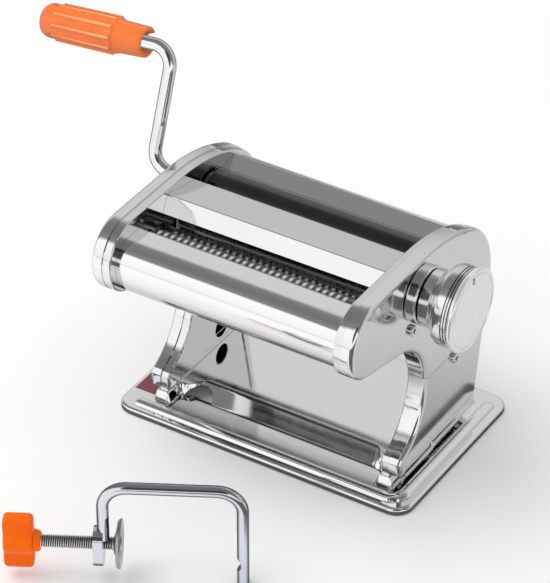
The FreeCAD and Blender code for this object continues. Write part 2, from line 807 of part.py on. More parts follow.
# ---- rollers ----------------------------------------------------------------------------------------------
def socket_cut(y, z):
    """Bore and cross slot in the end of a driven shaft, on the crank side."""
    bore = rod_x(-socket_end - 1, -socket_end + socket_depth, y, z, rod_r + socket_clear)
    slot = box(-socket_end - 1, -socket_end + drive_slot_depth, y - 20, y + 20, z - drive_slot / 2,
               z + drive_slot / 2)
    return bore.fuse(slot)


def chamfered_barrel(half, y, z, r):
    barrel = rod_x(-half, half, y, z, r)
    rims = [e for e in barrel.Edges if e.Closed and e.BoundBox.XLength < 0.01]
    return barrel.makeChamfer(0.8, rims)


def feed_roller_fixed():
    barrel = chamfered_barrel(roller_half, fixed_y, axis_z, roller_r)
    journals = rod_x(-gear_x[1], frame_in + frame_web + 3.2, fixed_y, axis_z, journal_r)
    boss = rod_x(-socket_end, -gear_x[1], fixed_y, axis_z, socket_boss_r)
    return barrel.multiFuse([journals, boss]).cut(socket_cut(fixed_y, axis_z))


def feed_roller_moving():
    barrel = chamfered_barrel(roller_half, adj_y, axis_z, roller_r)
    journals = rod_x(-gear_x[1], block_x[1], adj_y, axis_z, journal_r)
    return barrel.fuse(journals)


def ring_roller(y, z, first_ring, left_end, left_r):
    """Cutter: rings of ring_width standing on a core, one every ring_pitch, turned from one bar."""
    profile = [(-roller_half, 0.0), (-roller_half, core_r)]
    count = int(2 * ring_half_span / ring_pitch)
    for k in range(count):
        middle = first_ring + k * ring_pitch
        profile.append((middle - ring_width / 2, core_r))
        profile.append((middle - ring_width / 2, ring_r))
        profile.append((middle + ring_width / 2, ring_r))
        profile.append((middle + ring_width / 2, core_r))
    profile.append((roller_half, core_r))
    profile.append((roller_half, 0.0))
    face = polygon_face([Vector(x, y, z + r) for x, r in profile])
    rings = face.revolve(Vector(0, y, z), X_AXIS, 360)
    right = rod_x(roller_half, gear_x[1], y, z, cut_journal_r)
    left = rod_x(left_end, -roller_half, y, z, left_r)
    return rings.multiFuse([right, left])


first_front_ring = -ring_half_span + ring_width
first_rear_ring = first_front_ring + ring_pitch / 2


def cutter_roller_front():
    left_end = -frame_in - frame_web - 3.2
    return ring_roller(cut_front[0], cut_front[1], first_front_ring, left_end, cut_journal_r)


def cutter_roller_rear():
    roller = ring_roller(cut_rear[0], cut_rear[1], first_rear_ring, -socket_end, cut_drive_r)
    return roller.cut(socket_cut(cut_rear[0], cut_rear[1]))


# ---- sliding carriage of the moving roller ----------------------------------------------------------------
def bearing_block():
    block = box(block_x[0], block_x[1], adj_y - block_half_y, adj_y + block_half_y, axis_z - block_bottom,
                axis_z + block_top)
    return block.cut(rod_x(60, 90, adj_y, axis_z, journal_r + run_clear))


def bearing_block_right():
    lug_y = adj_y + cam_r + cam_clear
    lug = box(block_x[1], cam_x[1] + 0.6, lug_y, lug_y + 3.4, axis_z - lug_half_z, axis_z + lug_half_z)
    return bearing_block().fuse(lug)


def bearing_block_left():
    return mirrored(bearing_block())


def yoke_bar():
    z = axis_z - block_bottom
    return box(-block_x[0], block_x[0], adj_y - yoke_y / 2, adj_y + yoke_y / 2, z, z + yoke_z)


def blade(y, z, tip_r, length, angle, half):
    """Flat blade pointing at the axis (y, z) from the given direction."""
    a = math.radians(angle)
    u = Vector(0, math.cos(a), math.sin(a))
    side = Vector(0, -u.z, u.y) * 0.8
    near = Vector(-half, y, z) + u * tip_r
    far = near + u * length
    face = polygon_face([near + side, far + side * 1.6, far - side * 1.6, near - side])
    return face.extrude(Vector(2 * half, 0, 0))


def scraper_fixed():
    return blade(fixed_y, axis_z, roller_r + scraper_gap, 9.0, -53.0, frame_in - 0.1)


def scraper_moving():
    """Blade of the moving roller with its two hangers, which stand on the yoke bar's ends."""
    length = 6.5
    angle = -125.0
    foot = blade(adj_y, axis_z, roller_r + scraper_gap, length, angle, roller_half)
    reach = roller_r + scraper_gap + length
    far_y = adj_y + reach * math.cos(math.radians(angle))
    far_z = axis_z + reach * math.sin(math.radians(angle))
    z = axis_z - block_bottom + yoke_z
    hangers = [box(s * 70.0 - 1.5, s * 70.0 + 1.5, far_y - 1.8, adj_y - 2.0, z, far_z + 0.3) for s in (-1, 1)]
    return foot.multiFuse(hangers)


def comb(y, z, first_gap, angle):
    """Comb whose fingers lie in the cutter's grooves and lift the strips off."""
    a = math.radians(angle)
    u = Vector(0, math.cos(a), math.sin(a))
    side = Vector(0, -u.z, u.y)
    centre = Vector(0, y, z)
    back_near = ring_r + 0.7
    bar = [centre + u * back_near + side * 1.2, centre + u * (back_near + 4.5) + side * 1.2,
           centre + u * (back_near + 4.5) - side * 1.2, centre + u * back_near - side * 1.2]
    half = frame_in - 0.1
    body = polygon_face([p + Vector(-half, 0, 0) for p in bar]).extrude(Vector(2 * half, 0, 0))
    finger = [centre + u * (core_r + 0.4) + side * 0.5, centre + u * (back_near + 0.5) + side * 0.9,
              centre + u * (back_near + 0.5) - side * 0.9, centre + u * (core_r + 0.4) - side * 0.5]
    count = int(2 * ring_half_span / ring_pitch) - 1
    wide = ring_pitch - ring_width - 0.8
    fingers = []
    for k in range(count):
        left = Vector(first_gap + k * ring_pitch - wide / 2, 0, 0)
        fingers.append(polygon_face([p + left for p in finger]).extrude(Vector(wide, 0, 0)))
    return body.multiFuse(fingers)


def comb_front():
    return comb(cut_front[0], cut_front[1], first_front_ring + ring_pitch / 2, -125.0)


def comb_rear():
    return comb(cut_rear[0], cut_rear[1], first_rear_ring + ring_pitch / 2, -70.0)


# ---- dial -------------------------------------------------------------------------------------------------
def dial_bush():
    """Bush riveted into the right head cover; the dial's shaft turns in it."""
    flange = rod_x(cover_face - cover_sheet - 1.2, cover_face - cover_sheet, adj_y, axis_z, dial_bush_r + 2.0)
    body = rod_x(cover_face - cover_sheet, collar_end - 1.5, adj_y, axis_z, dial_bush_r)
    return flange.fuse(body).cut(rod_x(60, 120, adj_y, axis_z, dial_shaft_r + run_clear))


def dial_collar():
    outer = rod_x(cover_face, collar_end, adj_y, axis_z, collar_r)
    rim = [e for e in outer.Edges if e.Closed and e.BoundBox.XMin > collar_end - 0.01]
    outer = outer.makeFillet(1.2, rim)
    return outer.cut(rod_x(80, 120, adj_y, axis_z, dial_bush_r))


def dial_shaft():
    """Shaft from the cam to the knob's hub, with a flat key for the knob to slide on."""
    shaft = rod_x(cam_x[0], dial_drum_end - 2.0, adj_y, axis_z, dial_shaft_r)
    flat_z = axis_z + dial_shaft_r - 1.0
    flat = box(dial_start + 0.2, dial_drum_end, adj_y - 10, adj_y + 10, flat_z, axis_z + 10)
    return shaft.cut(flat)


def dial_cam():
    """Spiral cam: its edge rises by the carriage's travel over the dial's whole turn."""
    steps = 54
    sweep = math.radians(dial_turn)
    points = []
    for k in range(steps + 1):
        share = k / steps
        a = -sweep * share
        r = cam_r + travel * share
        points.append(Vector(0, adj_y + r * math.cos(a), axis_z + r * math.sin(a)))
    curve = Part.BSplineCurve()
    curve.interpolate(points)
    low = math.radians(12)
    dip = Vector(0, adj_y + cam_r * math.cos(low), axis_z + cam_r * math.sin(low))
    wire = Part.Wire([curve.toShape(), line_edge(points[-1], dip), line_edge(dip, points[0])])
    face = Part.Face(wire)
    return prism_x(face, cam_x[0], cam_x[1]).cut(rod_x(60, 120, adj_y, axis_z, dial_shaft_r))


def dial_knob():
    """Turned neck and flared drum, hollow inside for the spring, keyed on the shaft."""
    start = dial_start
    outline = [(start, dial_shaft_r + run_clear), (start, dial_neck_r), (dial_neck_end, dial_neck_r),
               (dial_drum_start, dial_drum_r), (dial_groove[0], dial_drum_r),
               (dial_groove[0], dial_drum_r - 0.6), (dial_groove[1], dial_drum_r - 0.6),
               (dial_groove[1], dial_drum_r), (dial_drum_end, dial_drum_r),
               (dial_drum_end, dial_drum_r - 4.0), (dial_neck_end + 3.0, dial_drum_r - 7.5),
               (dial_neck_end + 3.0, dial_shaft_r + 3.2), (dial_neck_end - 2.0, dial_shaft_r + 3.2),
               (dial_neck_end - 2.0, dial_shaft_r + run_clear)]
    face = polygon_face([Vector(x, adj_y, axis_z + r) for x, r in outline])
    knob = face.revolve(Vector(0, adj_y, axis_z), X_AXIS, 360)
    waist = [e for e in knob.Edges if e.Closed and abs(e.BoundBox.XMin - dial_neck_end) < 0.01
             and e.BoundBox.YLength > 2 * dial_neck_r - 0.1]
    knob = knob.makeFillet(3.2, waist)
    key = box(start + 0.6, dial_neck_end - 2.0, adj_y - 3.0, adj_y + 3.0, axis_z + dial_shaft_r - 1.0 + 0.15,
              axis_z + dial_shaft_r + 0.5)
    return knob.fuse(key)


def dial_cap():
    """Flat disc with a rounded rim that closes the drum; a low spigot centres it."""
    disc = rod_x(dial_drum_end, dial_cap_end, adj_y, axis_z, dial_cap_r)
    rim = [e for e in disc.Edges if e.Closed and e.BoundBox.XLength < 0.01 and e.BoundBox.YLength > 10]
    disc = disc.makeFillet(1.5, rim)
    spigot = tube_x(dial_drum_end - 2.5, dial_drum_end, adj_y, axis_z, dial_drum_r - 5.4, dial_drum_r - 7.4)
    return disc.fuse(spigot)


def dial_mark():
    """Raised tick near the cap's edge that points to the setting."""
    return box(dial_cap_end, dial_cap_end + 0.3, adj_y - 0.6, adj_y + 0.6, axis_z + dial_cap_r - 7.5,
               axis_z + dial_cap_r - 3.5)


def dial_spring():
    """Stack of coned spring washers that hold the knob in, drawn as pressed flat by a pulled knob."""
    start = dial_neck_end - 2.0 + dial_pull + 0.5
    end = dial_drum_end - 3.4
    count = 6
    step = (end - start) / count
    inner = dial_shaft_r + 0.3
    outer = dial_shaft_r + 2.6
    thick = 0.45
    washers = []
    for k in range(count):
        low = start + k * step + 0.02
        high = low + step - thick - 0.04
        near, far = (inner, outer) if k % 2 == 0 else (outer, inner)
        profile = [(low, near), (high, far), (high + thick, far), (low + thick, near)]
        face = polygon_face([Vector(x, adj_y, axis_z + r) for x, r in profile])
        washers.append(face.revolve(Vector(0, adj_y, axis_z), X_AXIS, 360))
    return washers


def dial_stop_washer():
    """Washer and riveted end that keep the spring on the shaft."""
    return tube_x(dial_drum_end - 3.4, dial_drum_end - 2.4, adj_y, axis_z, dial_shaft_r + 2.8,
                  dial_shaft_r)


# ---- crank ------------------------------------------------------------------------------------------------
def crank_points():
    """Centre line of the crank: socket, foot of the arm, head of the arm, and the handle's direction."""
    lean = math.radians(crank_lean)
    droop = math.radians(crank_droop)
    up = Vector(0, math.sin(lean), math.cos(lean))
    inner = Vector(-socket_end + socket_depth - 1.5, fixed_y, axis_z)
    lower = Vector(-crank_plane, fixed_y, axis_z)
    upper = lower + up * crank_throw
    out = Vector(-math.cos(droop), 0, 0) - up * math.sin(droop)
    return inner, lower, upper, out


def swept_rod(points, bend_r, r):
    """Round rod along straight runs joined by tangent arcs of bend_r."""
    edges = []
    start = points[0]
    for i in range(1, len(points) - 1):
        a = (points[i - 1] - points[i]).normalize()
        b = (points[i + 1] - points[i]).normalize()
        half = a.getAngle(b) / 2
        back = bend_r / math.tan(half)
        p0 = points[i] + a * back
        p1 = points[i] + b * back
        middle = (a + b).normalize()
        centre = points[i] + middle * (bend_r / math.sin(half))
        edges.append(line_edge(start, p0))
        edges.append(Part.Arc(p0, centre - middle * bend_r, p1).toShape())
        start = p1
    edges.append(line_edge(start, points[-1]))
    path = Part.Wire(edges)
    first = (points[1] - points[0]).normalize()
    profile = Part.Wire(Part.makeCircle(r, points[0], first))
    return path.makePipeShell([profile], True, True)


def crank_arm():
    inner, lower, upper, out = crank_points()
    end = upper + out * (grip_start + grip_length - 3.0)
    rod = swept_rod([inner, lower, upper, end], crank_bend_r, rod_r)
    pin_x = -socket_end + drive_slot_depth - drive_pin_r - 0.3
    pin_start = Vector(pin_x, fixed_y - drive_pin_half, axis_z)
    pin = Part.makeCylinder(drive_pin_r, 2 * drive_pin_half, pin_start, Y_AXIS)
    return rod.fuse(pin)


def along_handle(profile):
    """Turn a profile of (distance, radius) points about the handle rod's axis."""
    inner, lower, upper, out = crank_points()
    lean = math.radians(crank_lean)
    side = Vector(0, math.cos(lean), -math.sin(lean))
    face = polygon_face([upper + out * d + side * r for d, r in profile])
    return face.revolve(upper, out, 360)


def crank_grip():
    """Moulded grip: hollow neck towards the arm, ribbed barrel, domed end."""
    s = grip_start
    e = grip_start + grip_length
    bore = rod_r + grip_bore_clear
    profile = [(s, grip_neck_r - 2.0), (s, grip_neck_r), (s + 19.0, grip_neck_r + 0.6),
               (s + 22.5, grip_body_r), (e - 10.0, grip_body_r - 0.5), (e - 4.0, grip_body_r - 1.8),
               (e, grip_body_r - 4.4),
               (e, 0.0), (e - 2.2, 0.0), (e - 2.2, bore + 1.6), (e - 6.0, bore + 1.6), (e - 6.0, bore),
               (s + 18.0, bore), (s + 18.0, grip_neck_r - 2.4)]
    return along_handle(profile)


def grip_washer():
    """Push-on washer near the rod's end that keeps the grip on."""
    e = grip_start + grip_length
    return along_handle([(e - 5.6, rod_r), (e - 5.6, rod_r + 1.2), (e - 4.4, rod_r + 1.2), (e - 4.4, rod_r)])


def socket_bezels():
    """Turned rings round the two crank holes of the left head cover."""
    rings = []
    for y, z in ((fixed_y, axis_z), cut_rear):
        ring = tube_x(cover_face, cover_face + 0.9, y, z, bezel_bore + 2.2, bezel_bore - 0.6)
        sleeve = tube_x(cover_face - cover_sheet, cover_face, y, z, bezel_bore, bezel_bore - 0.6)
        rings.append(mirrored(ring.fuse(sleeve)))
    return rings


# ---- clamp ------------------------------------------------------------------------------------------------
def place_clamp(shape):
    """Clamp pieces are built in a plane of their own and stood on the table beside the machine."""
    shape.rotate(Vector(0, 0, 0), Z_AXIS, clamp_angle)
    shape.translate(Vector(clamp_origin[0], clamp_origin[1], 0))
    return shape


def clamp_bar():
    """Bent rod: hook leg with its notch, back, and threaded leg flattened into an eye."""
    hook = Vector(0, 0, 0)
    corner_a = Vector(0, 0, clamp_height)
    corner_b = Vector(-clamp_span, 0, clamp_height)
    low = Vector(-clamp_span, 0, clamp_screw_z + 4)
    rod = swept_rod([hook, corner_a, corner_b, low], clamp_bend_r, clamp_rod_r)
    base_rim = [e for e in rod.Edges if e.Closed and e.BoundBox.ZMax < 0.01]
    if base_rim:
        rod = rod.makeFillet(1.0, base_rim)
    notch = Part.makeCylinder(5.0, 30, Vector(-clamp_rod_r - 2.2, -15, clamp_hook_z), Y_AXIS)
    eye_x = -clamp_span - clamp_eye_shift
    eye = box(eye_x - clamp_eye_thick / 2, eye_x + clamp_eye_thick / 2, -clamp_eye_half, clamp_eye_half,
              clamp_short_end, clamp_screw_z + 10.0)
    long_edges = [e for e in eye.Edges if e.BoundBox.XLength > clamp_eye_thick - 0.01]
    eye = eye.makeFillet(6.0, long_edges)
    hole = rod_x(-clamp_span - 20, -clamp_span + 20, 0, clamp_screw_z, clamp_screw_r + clamp_thread_clear)
    return place_clamp(rod.cut(notch).fuse(eye).cut(hole))


def clamp_screw():
    """Screw from the knob through the eye, necked where the pad swivels on it."""
    start = -clamp_span - clamp_knob_far + 6.0
    end = -clamp_span + clamp_pad_near
    shaft = rod_x(start, end, 0, clamp_screw_z, clamp_screw_r)
    neck = rod_x(end, end + 3.4, 0, clamp_screw_z, 2.4)
    rivet = rod_x(end + 3.4, end + 4.6, 0, clamp_screw_z, 4.0)
    return place_clamp(shaft.multiFuse([neck, rivet]))


def clamp_knob():
    """Wing knob: round hub on the screw and two thick wings."""
    far = -clamp_span - clamp_knob_far
    hub = rod_x(far, far + 21.0, 0, clamp_screw_z, 7.6)
    wings = box(far, far + 2 * clamp_knob_thick - 1.0, -5.0, 5.0, clamp_screw_z - clamp_knob_span,
                clamp_screw_z + clamp_knob_span)
    corners = [e for e in wings.Edges if e.BoundBox.YLength > 9.9]
    wings = wings.makeFillet(5.0, corners)
    knob = hub.fuse(wings)
    return place_clamp(knob.cut(rod_x(far + 6.0, far + 40, 0, clamp_screw_z, clamp_screw_r)))


def clamp_pad():
    """Dished steel pad that turns freely on the screw's neck."""
    x = -clamp_span + clamp_pad_near
    outline = [(x + 0.3, 2.6), (x + 0.3, 6.0), (x + 1.9, 9.0), (x + 1.9, clamp_pad_r - 1.0),
               (x + 3.4, clamp_pad_r), (x + 4.2, clamp_pad_r - 0.6), (x + 3.3, 9.2), (x + 1.7, 5.6),
               (x + 1.7, 2.6)]
    face = polygon_face([Vector(d, 0, clamp_screw_z + r) for d, r in outline])
    return place_clamp(face.revolve(Vector(0, 0, clamp_screw_z), X_AXIS, 360))


# ---- write every piece ------------------------------------------------------------------------------------
def group(solids):
    return Part.Compound(solids)


pieces = {
    "base_plate": base_plate,
    "rubber_feet": lambda: group(rubber_feet()),
    "base_label": base_label,
    "side_frame_right": side_frame_right,
    "side_frame_left": side_frame_left,
    "head_cover_right": head_cover_right,
    "head_cover_left": head_cover_left,
    "leg_panel_right": leg_panel,
    "leg_panel_left": lambda: mirrored(leg_panel()),
    "rear_cover": rear_cover,
    "centre_guide": centre_guide,
    "front_cover": front_cover,
    "tie_rods": lambda: group(tie_rods()),
    "tie_nuts": lambda: group(tie_nuts()),
    "cover_screws_right": lambda: group(cover_screws()),
    "cover_screws_left": lambda: group([mirrored(s) for s in cover_screws()]),
    "cover_pillars_right": lambda: group(cover_pillars()),
    "cover_pillars_left": lambda: group([mirrored(s) for s in cover_pillars()]),
    "foot_screws": lambda: group(foot_screws()),
    "foot_nuts": lambda: group(foot_nuts()),
    "roller_bushes": lambda: group(roller_bushes()),
    "cutter_bushes": lambda: group(cutter_bushes()),
    "socket_bezels": lambda: group(socket_bezels()),
    "feed_roller_fixed": feed_roller_fixed,
    "drive_gear": drive_gear,
    "feed_roller_moving": feed_roller_moving,
    "driven_gear": driven_gear,
    "bearing_block_right": bearing_block_right,
    "bearing_block_left": bearing_block_left,
    "yoke_bar": yoke_bar,
    "scraper_fixed": scraper_fixed,
    "scraper_moving": scraper_moving,
    "cutter_roller_front": cutter_roller_front,
    "cutter_roller_rear": cutter_roller_rear,
    "cutter_gear_front": cutter_gear_front,
    "cutter_gear_rear": cutter_gear_rear,
    "comb_front": comb_front,
    "comb_rear": comb_rear,
    "dial_bush": dial_bush,
    "dial_collar": dial_collar,
    "dial_shaft": dial_shaft,
    "dial_cam": dial_cam,
    "dial_stop_washer": dial_stop_washer,
    "dial_spring": lambda: group(dial_spring()),
    "dial_knob": dial_knob,
    "dial_cap": dial_cap,
    "dial_mark": dial_mark,
    "crank_arm": crank_arm,
    "crank_grip": crank_grip,
    "grip_washer": grip_washer,
    "clamp_bar": clamp_bar,
    "clamp_screw": clamp_screw,
    "clamp_knob": clamp_knob,
    "clamp_pad": clamp_pad,
}

for name, make in pieces.items():
    shape = make()
    solids = len(shape.Solids)
    print(name, solids, round(shape.Volume / 1000, 2), "cm3", "valid" if shape.isValid() else "INVALID")
    shape.exportStep("parts/" + name + ".step")
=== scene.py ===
"""Looks of a hand-cranked roller pasta machine with crank and table clamp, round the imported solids."""
import math

import bpy
import numpy as np
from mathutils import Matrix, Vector


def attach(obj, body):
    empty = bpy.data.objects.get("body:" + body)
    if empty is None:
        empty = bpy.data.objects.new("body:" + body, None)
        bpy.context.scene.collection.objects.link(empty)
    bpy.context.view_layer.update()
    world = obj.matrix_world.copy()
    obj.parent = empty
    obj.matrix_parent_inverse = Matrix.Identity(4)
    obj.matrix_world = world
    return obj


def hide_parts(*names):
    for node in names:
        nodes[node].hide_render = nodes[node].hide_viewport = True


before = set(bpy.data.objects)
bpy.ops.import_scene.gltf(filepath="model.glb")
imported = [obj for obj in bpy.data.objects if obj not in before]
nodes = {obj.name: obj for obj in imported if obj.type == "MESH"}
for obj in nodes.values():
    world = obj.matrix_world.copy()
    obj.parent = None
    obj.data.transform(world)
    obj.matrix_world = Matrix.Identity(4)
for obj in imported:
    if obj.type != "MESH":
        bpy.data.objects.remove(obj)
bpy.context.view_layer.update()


# ---- Base plate -------------------------------------------------------------------------------------------
# One pressing of 1.2 mm stainless sheet: turned-down rim, an L-shaped bead and a raised middle with two arms.
# Polished after pressing, so it keeps a faint rolling grain along its width and a little slow waviness.
def add(tree, kind, inputs=None, **settings):
    """One shader node. Its inputs are plain values, or the sockets of other nodes that feed it."""
    made = tree.nodes.new(kind)
    for key, value in settings.items():
        setattr(made, key, value)
    for key, value in (inputs or {}).items():
        socket = made.inputs[key]
        if isinstance(value, bpy.types.NodeSocket):
            tree.links.new(value, socket)
        else:
            socket.default_value = value
    return made


def new_group(name, takes, gives):
    """A shader node group with named sockets; returns it with its input and output nodes."""
    group = bpy.data.node_groups.new(name, "ShaderNodeTree")
    for label, kind, value in takes:
        socket = group.interface.new_socket(label, in_out="INPUT", socket_type="NodeSocket" + kind)
        socket.default_value = value
    for label, kind in gives:
        group.interface.new_socket(label, in_out="OUTPUT", socket_type="NodeSocket" + kind)
    return group, group.nodes.new("NodeGroupInput"), group.nodes.new("NodeGroupOutput")


def noise(tree, place, scale, detail, roughness=0.5):
    """The value of a noise of some scale at a place."""
    return add(tree, "ShaderNodeTexNoise", {"Vector": place, "Scale": scale, "Detail": detail,
                                            "Roughness": roughness}).outputs["Fac"]


def remap(tree, value, start, end, to_start=0.0, to_end=1.0, step="LINEAR"):
    """A value carried from one range to another and held at its ends."""
    return add(tree, "ShaderNodeMapRange", {"Value": value, "From Min": start, "From Max": end,
                                            "To Min": to_start, "To Max": to_end},
               interpolation_type=step).outputs[0]


def combine(tree, operation, a, b):
    return add(tree, "ShaderNodeMath", {0: a, 1: b}, operation=operation).outputs[0]


def between_colours(tree, share, low, high):
    return add(tree, "ShaderNodeMix", {0: share, 6: low, 7: high}, data_type="RGBA").outputs[2]


def bumped(tree, height, distance, strength, under=None):
    """The normal over a relief, on top of another normal where one is given."""
    takes = {"Height": height, "Distance": distance, "Strength": strength}
    if under is not None:
        takes["Normal"] = under
    return add(tree, "ShaderNodeBump", takes).outputs["Normal"]


def make_sheet_polish():
    """Rolled and polished sheet: streaks are noise drawn out along the rolling, slow waves are wide noise."""
    group, given, out = new_group(
        "sheet_polish",
        [("Bright", "Color", (0.8, 0.8, 0.81, 1)), ("Dim", "Color", (0.7, 0.7, 0.71, 1)),
         ("Streaks", "Vector", (30, 900, 900)), ("Smoothest", "Float", 0.05), ("Dullest", "Float", 0.12),
         ("Wave height", "Float", 0.00004)],
        [("Colour", "Color"), ("Roughness", "Float"), ("Normal", "Vector")])
    own = given.outputs
    place = add(group, "ShaderNodeTexCoord").outputs["Object"]
    stretched = add(group, "ShaderNodeMapping", {"Vector": place, "Scale": own["Streaks"]}).outputs["Vector"]
    streak = noise(group, stretched, 1.0, 3.0)
    cloud = noise(group, place, 22.0, 3.0, 0.6)
    rough = remap(group, combine(group, "ADD", streak, cloud), 0.7, 1.35, own["Smoothest"], own["Dullest"])
    slow = bumped(group, noise(group, place, 17.0, 0.0), own["Wave height"], 1.0)
    fine = bumped(group, streak, 0.0000012, 0.6, slow)
    pits = bumped(group, noise(group, place, 700.0, 1.0), 0.0000015, 0.4, fine)
    group.links.new(between_colours(group, cloud, own["Dim"], own["Bright"]), out.inputs["Colour"])
    group.links.new(rough, out.inputs["Roughness"])
    group.links.new(pits, out.inputs["Normal"])
    return group


sheet_polish = make_sheet_polish()


def bare_metal(name, finish_group, own):
    """Bare metal that wears one of the finish groups; every value is this piece's own."""
    made = bpy.data.materials.new(name)
    made.use_nodes = True
    tree = made.node_tree
    shader = tree.nodes["Principled BSDF"]
    shader.inputs["Metallic"].default_value = 1.0
    finish = add(tree, "ShaderNodeGroup", own, node_tree=finish_group)
    for gives, takes in (("Colour", "Base Color"), ("Roughness", "Roughness"), ("Normal", "Normal")):
        tree.links.new(finish.outputs[gives], shader.inputs[takes])
    return made, finish


def sheet_metal(name, bright, dim, streaks, smoothest, dullest, wave):
    """Bare metal with the sheet polish on it."""
    own = {"Bright": (*bright, 1), "Dim": (*dim, 1), "Streaks": streaks, "Smoothest": smoothest,
           "Dullest": dullest, "Wave height": wave}
    return bare_metal(name, sheet_polish, own)[0]


def dress(material, *names):
    """Give these solids their finish."""
    for name in names:
        for slot in nodes[name].material_slots:
            slot.material = material


rim_x, rim_y = 100.0, 64.0
rim_corner = 11.0
rim_low, ledge_top = 0.6, 4.6
sheet_gauge = 1.2
raised_top = 11.2
bead_height, bead_half = 2.6, 3.7
raised_side, raised_front, raised_back = 83.2, -35.8, 52.0
arm_inner, arm_front = 70.5, -49.0
slope_narrow, slope_extra = 2.9, 8.3
points_x, points_y, points_corner = 220, 120, 8


def box_distance(x, y, x0, x1, y0, y1, r):
    """Signed distance to a rectangle with rounded corners, positive inside, in millimetres."""
    dx = np.abs(x - (x0 + x1) / 2) - (x1 - x0) / 2 + r
    dy = np.abs(y - (y0 + y1) / 2) - (y1 - y0) / 2 + r
    outside = np.hypot(np.maximum(dx, 0), np.maximum(dy, 0))
    return r - outside - np.minimum(np.maximum(dx, dy), 0)


def bead_distance(x, y):
    """Distance from the bead's middle line: along the front, round the right corner, and along the side."""
    front_y, side_x, bend = -55.4, 91.4, 9.0
    along_front = np.hypot(x - np.clip(x, -86.25, side_x - bend), y - front_y)
    along_side = np.hypot(x - side_x, y - np.clip(y, front_y + bend, 50.25))
    cx, cy = x - (side_x - bend), y - (front_y + bend)
    round_corner = np.where((cx > 0) & (cy < 0), np.abs(np.hypot(cx, cy) - bend), 99.0)
    return np.minimum(np.minimum(along_front, along_side), round_corner)


def pressed_height(x, y):
    """Height of the pressing: the ledge, plus a rounded bead, or the raised middle. Its wall climbs as an
    even slope with short eased ends from its foot inwards, wide in front, narrow under the side frames."""
    ridge = bead_height * np.sqrt(np.clip(1 - (bead_distance(x, y) / bead_half) ** 2, 0, 1))
    middle = box_distance(x, y, -raised_side, raised_side, raised_front, raised_back, 3.0)
    arms = np.maximum(box_distance(x, y, arm_inner, raised_side, arm_front, 0.0, 3.2),
                      box_distance(x, y, -raised_side, -arm_inner, arm_front, 0.0, 3.2))
    blend = np.clip(0.5 + (middle - arms) / 6.0, 0, 1)
    inside = arms + (middle - arms) * blend + 3.0 * blend * (1 - blend)
    wide = np.clip((68.0 - np.abs(x)) / 8.0, 0, 1) * np.clip(-y / 10.0, 0, 1)
    climb = np.clip(inside / (slope_narrow + slope_extra * wide ** 2 * (3 - 2 * wide)), 0, 1)
    ease = 0.1
    wall = (climb - ease / 2) / (1 - ease)
    wall = np.where(climb < ease, climb ** 2 / (2 * ease * (1 - ease)), wall)
    wall = np.where(climb > 1 - ease, 1 - (1 - climb) ** 2 / (2 * ease * (1 - ease)), wall)
    return ledge_top + np.maximum(ridge, (raised_top - ledge_top) * wall)


def rim_ring(inset):
    """Points of the base's outline drawn in by a distance, closer together towards the ends of each side."""
    corner = max(rim_corner - inset, 1.5)
    half_x, half_y = rim_x - inset - corner, rim_y - inset - corner
    run_x = np.sin(np.linspace(-1, 1, points_x) * math.pi / 2) * half_x
    run_y = np.sin(np.linspace(-1, 1, points_y) * math.pi / 2) * half_y
    turn = np.linspace(0, math.pi / 2, points_corner + 2)[1:-1]
    points = []
    for k, (sx, sy) in enumerate(((1, -1), (1, 1), (-1, 1), (-1, -1))):
        run = (run_x, run_y, run_x, run_y)[k]
        edge = (np.stack([run, np.full_like(run, -half_y - corner)], -1),
                np.stack([np.full_like(run, half_x + corner), run], -1),
                np.stack([-run, np.full_like(run, half_y + corner)], -1),
                np.stack([np.full_like(run, -half_x - corner), -run], -1))[k]
        a = turn + (k - 1) * math.pi / 2
        bend = np.stack([sx * half_x + corner * np.cos(a), sy * half_y + corner * np.sin(a)], -1)
        points += [edge, bend]
    return np.concatenate(points)


def base_surface():
    """Rows run from the middle of the top outwards, round the rim and back along the underside: the outline
    drawn in by each row's inset, lifted to the pressing's height, and the same less the gauge below."""
    insets = np.concatenate([[48.0, 42.0], np.arange(39.0, 30.4, -0.4), np.arange(30.0, 22.0, -0.8),
                             np.arange(22.0, 11.9, -0.36), np.arange(11.6, 2.4, -0.5)])
    edge_turn = np.linspace(math.pi / 2, 0, 7)
    edge_r = 1.8
    rows = []
    for inset in insets:
        ring = rim_ring(inset)
        rows.append(np.column_stack([ring, pressed_height(ring[:, 0], ring[:, 1])]))
    for a in edge_turn:
        ring = rim_ring(edge_r * (1 - math.cos(a)))
        rows.append(np.column_stack([ring, np.full(len(ring), ledge_top - edge_r * (1 - math.sin(a)))]))
    for inset, z in ((0.0, rim_low + 0.1), (0.1, rim_low), (sheet_gauge, rim_low), (sheet_gauge, 2.4),
                     (2.4, 3.4)):
        ring = rim_ring(inset)
        rows.append(np.column_stack([ring, np.full(len(ring), z)]))
    for inset in insets[::-4]:
        ring = rim_ring(inset)
        rows.append(np.column_stack([ring, pressed_height(ring[:, 0], ring[:, 1]) - sheet_gauge]))
    return np.array(rows)[:, ::-1] / 1000.0


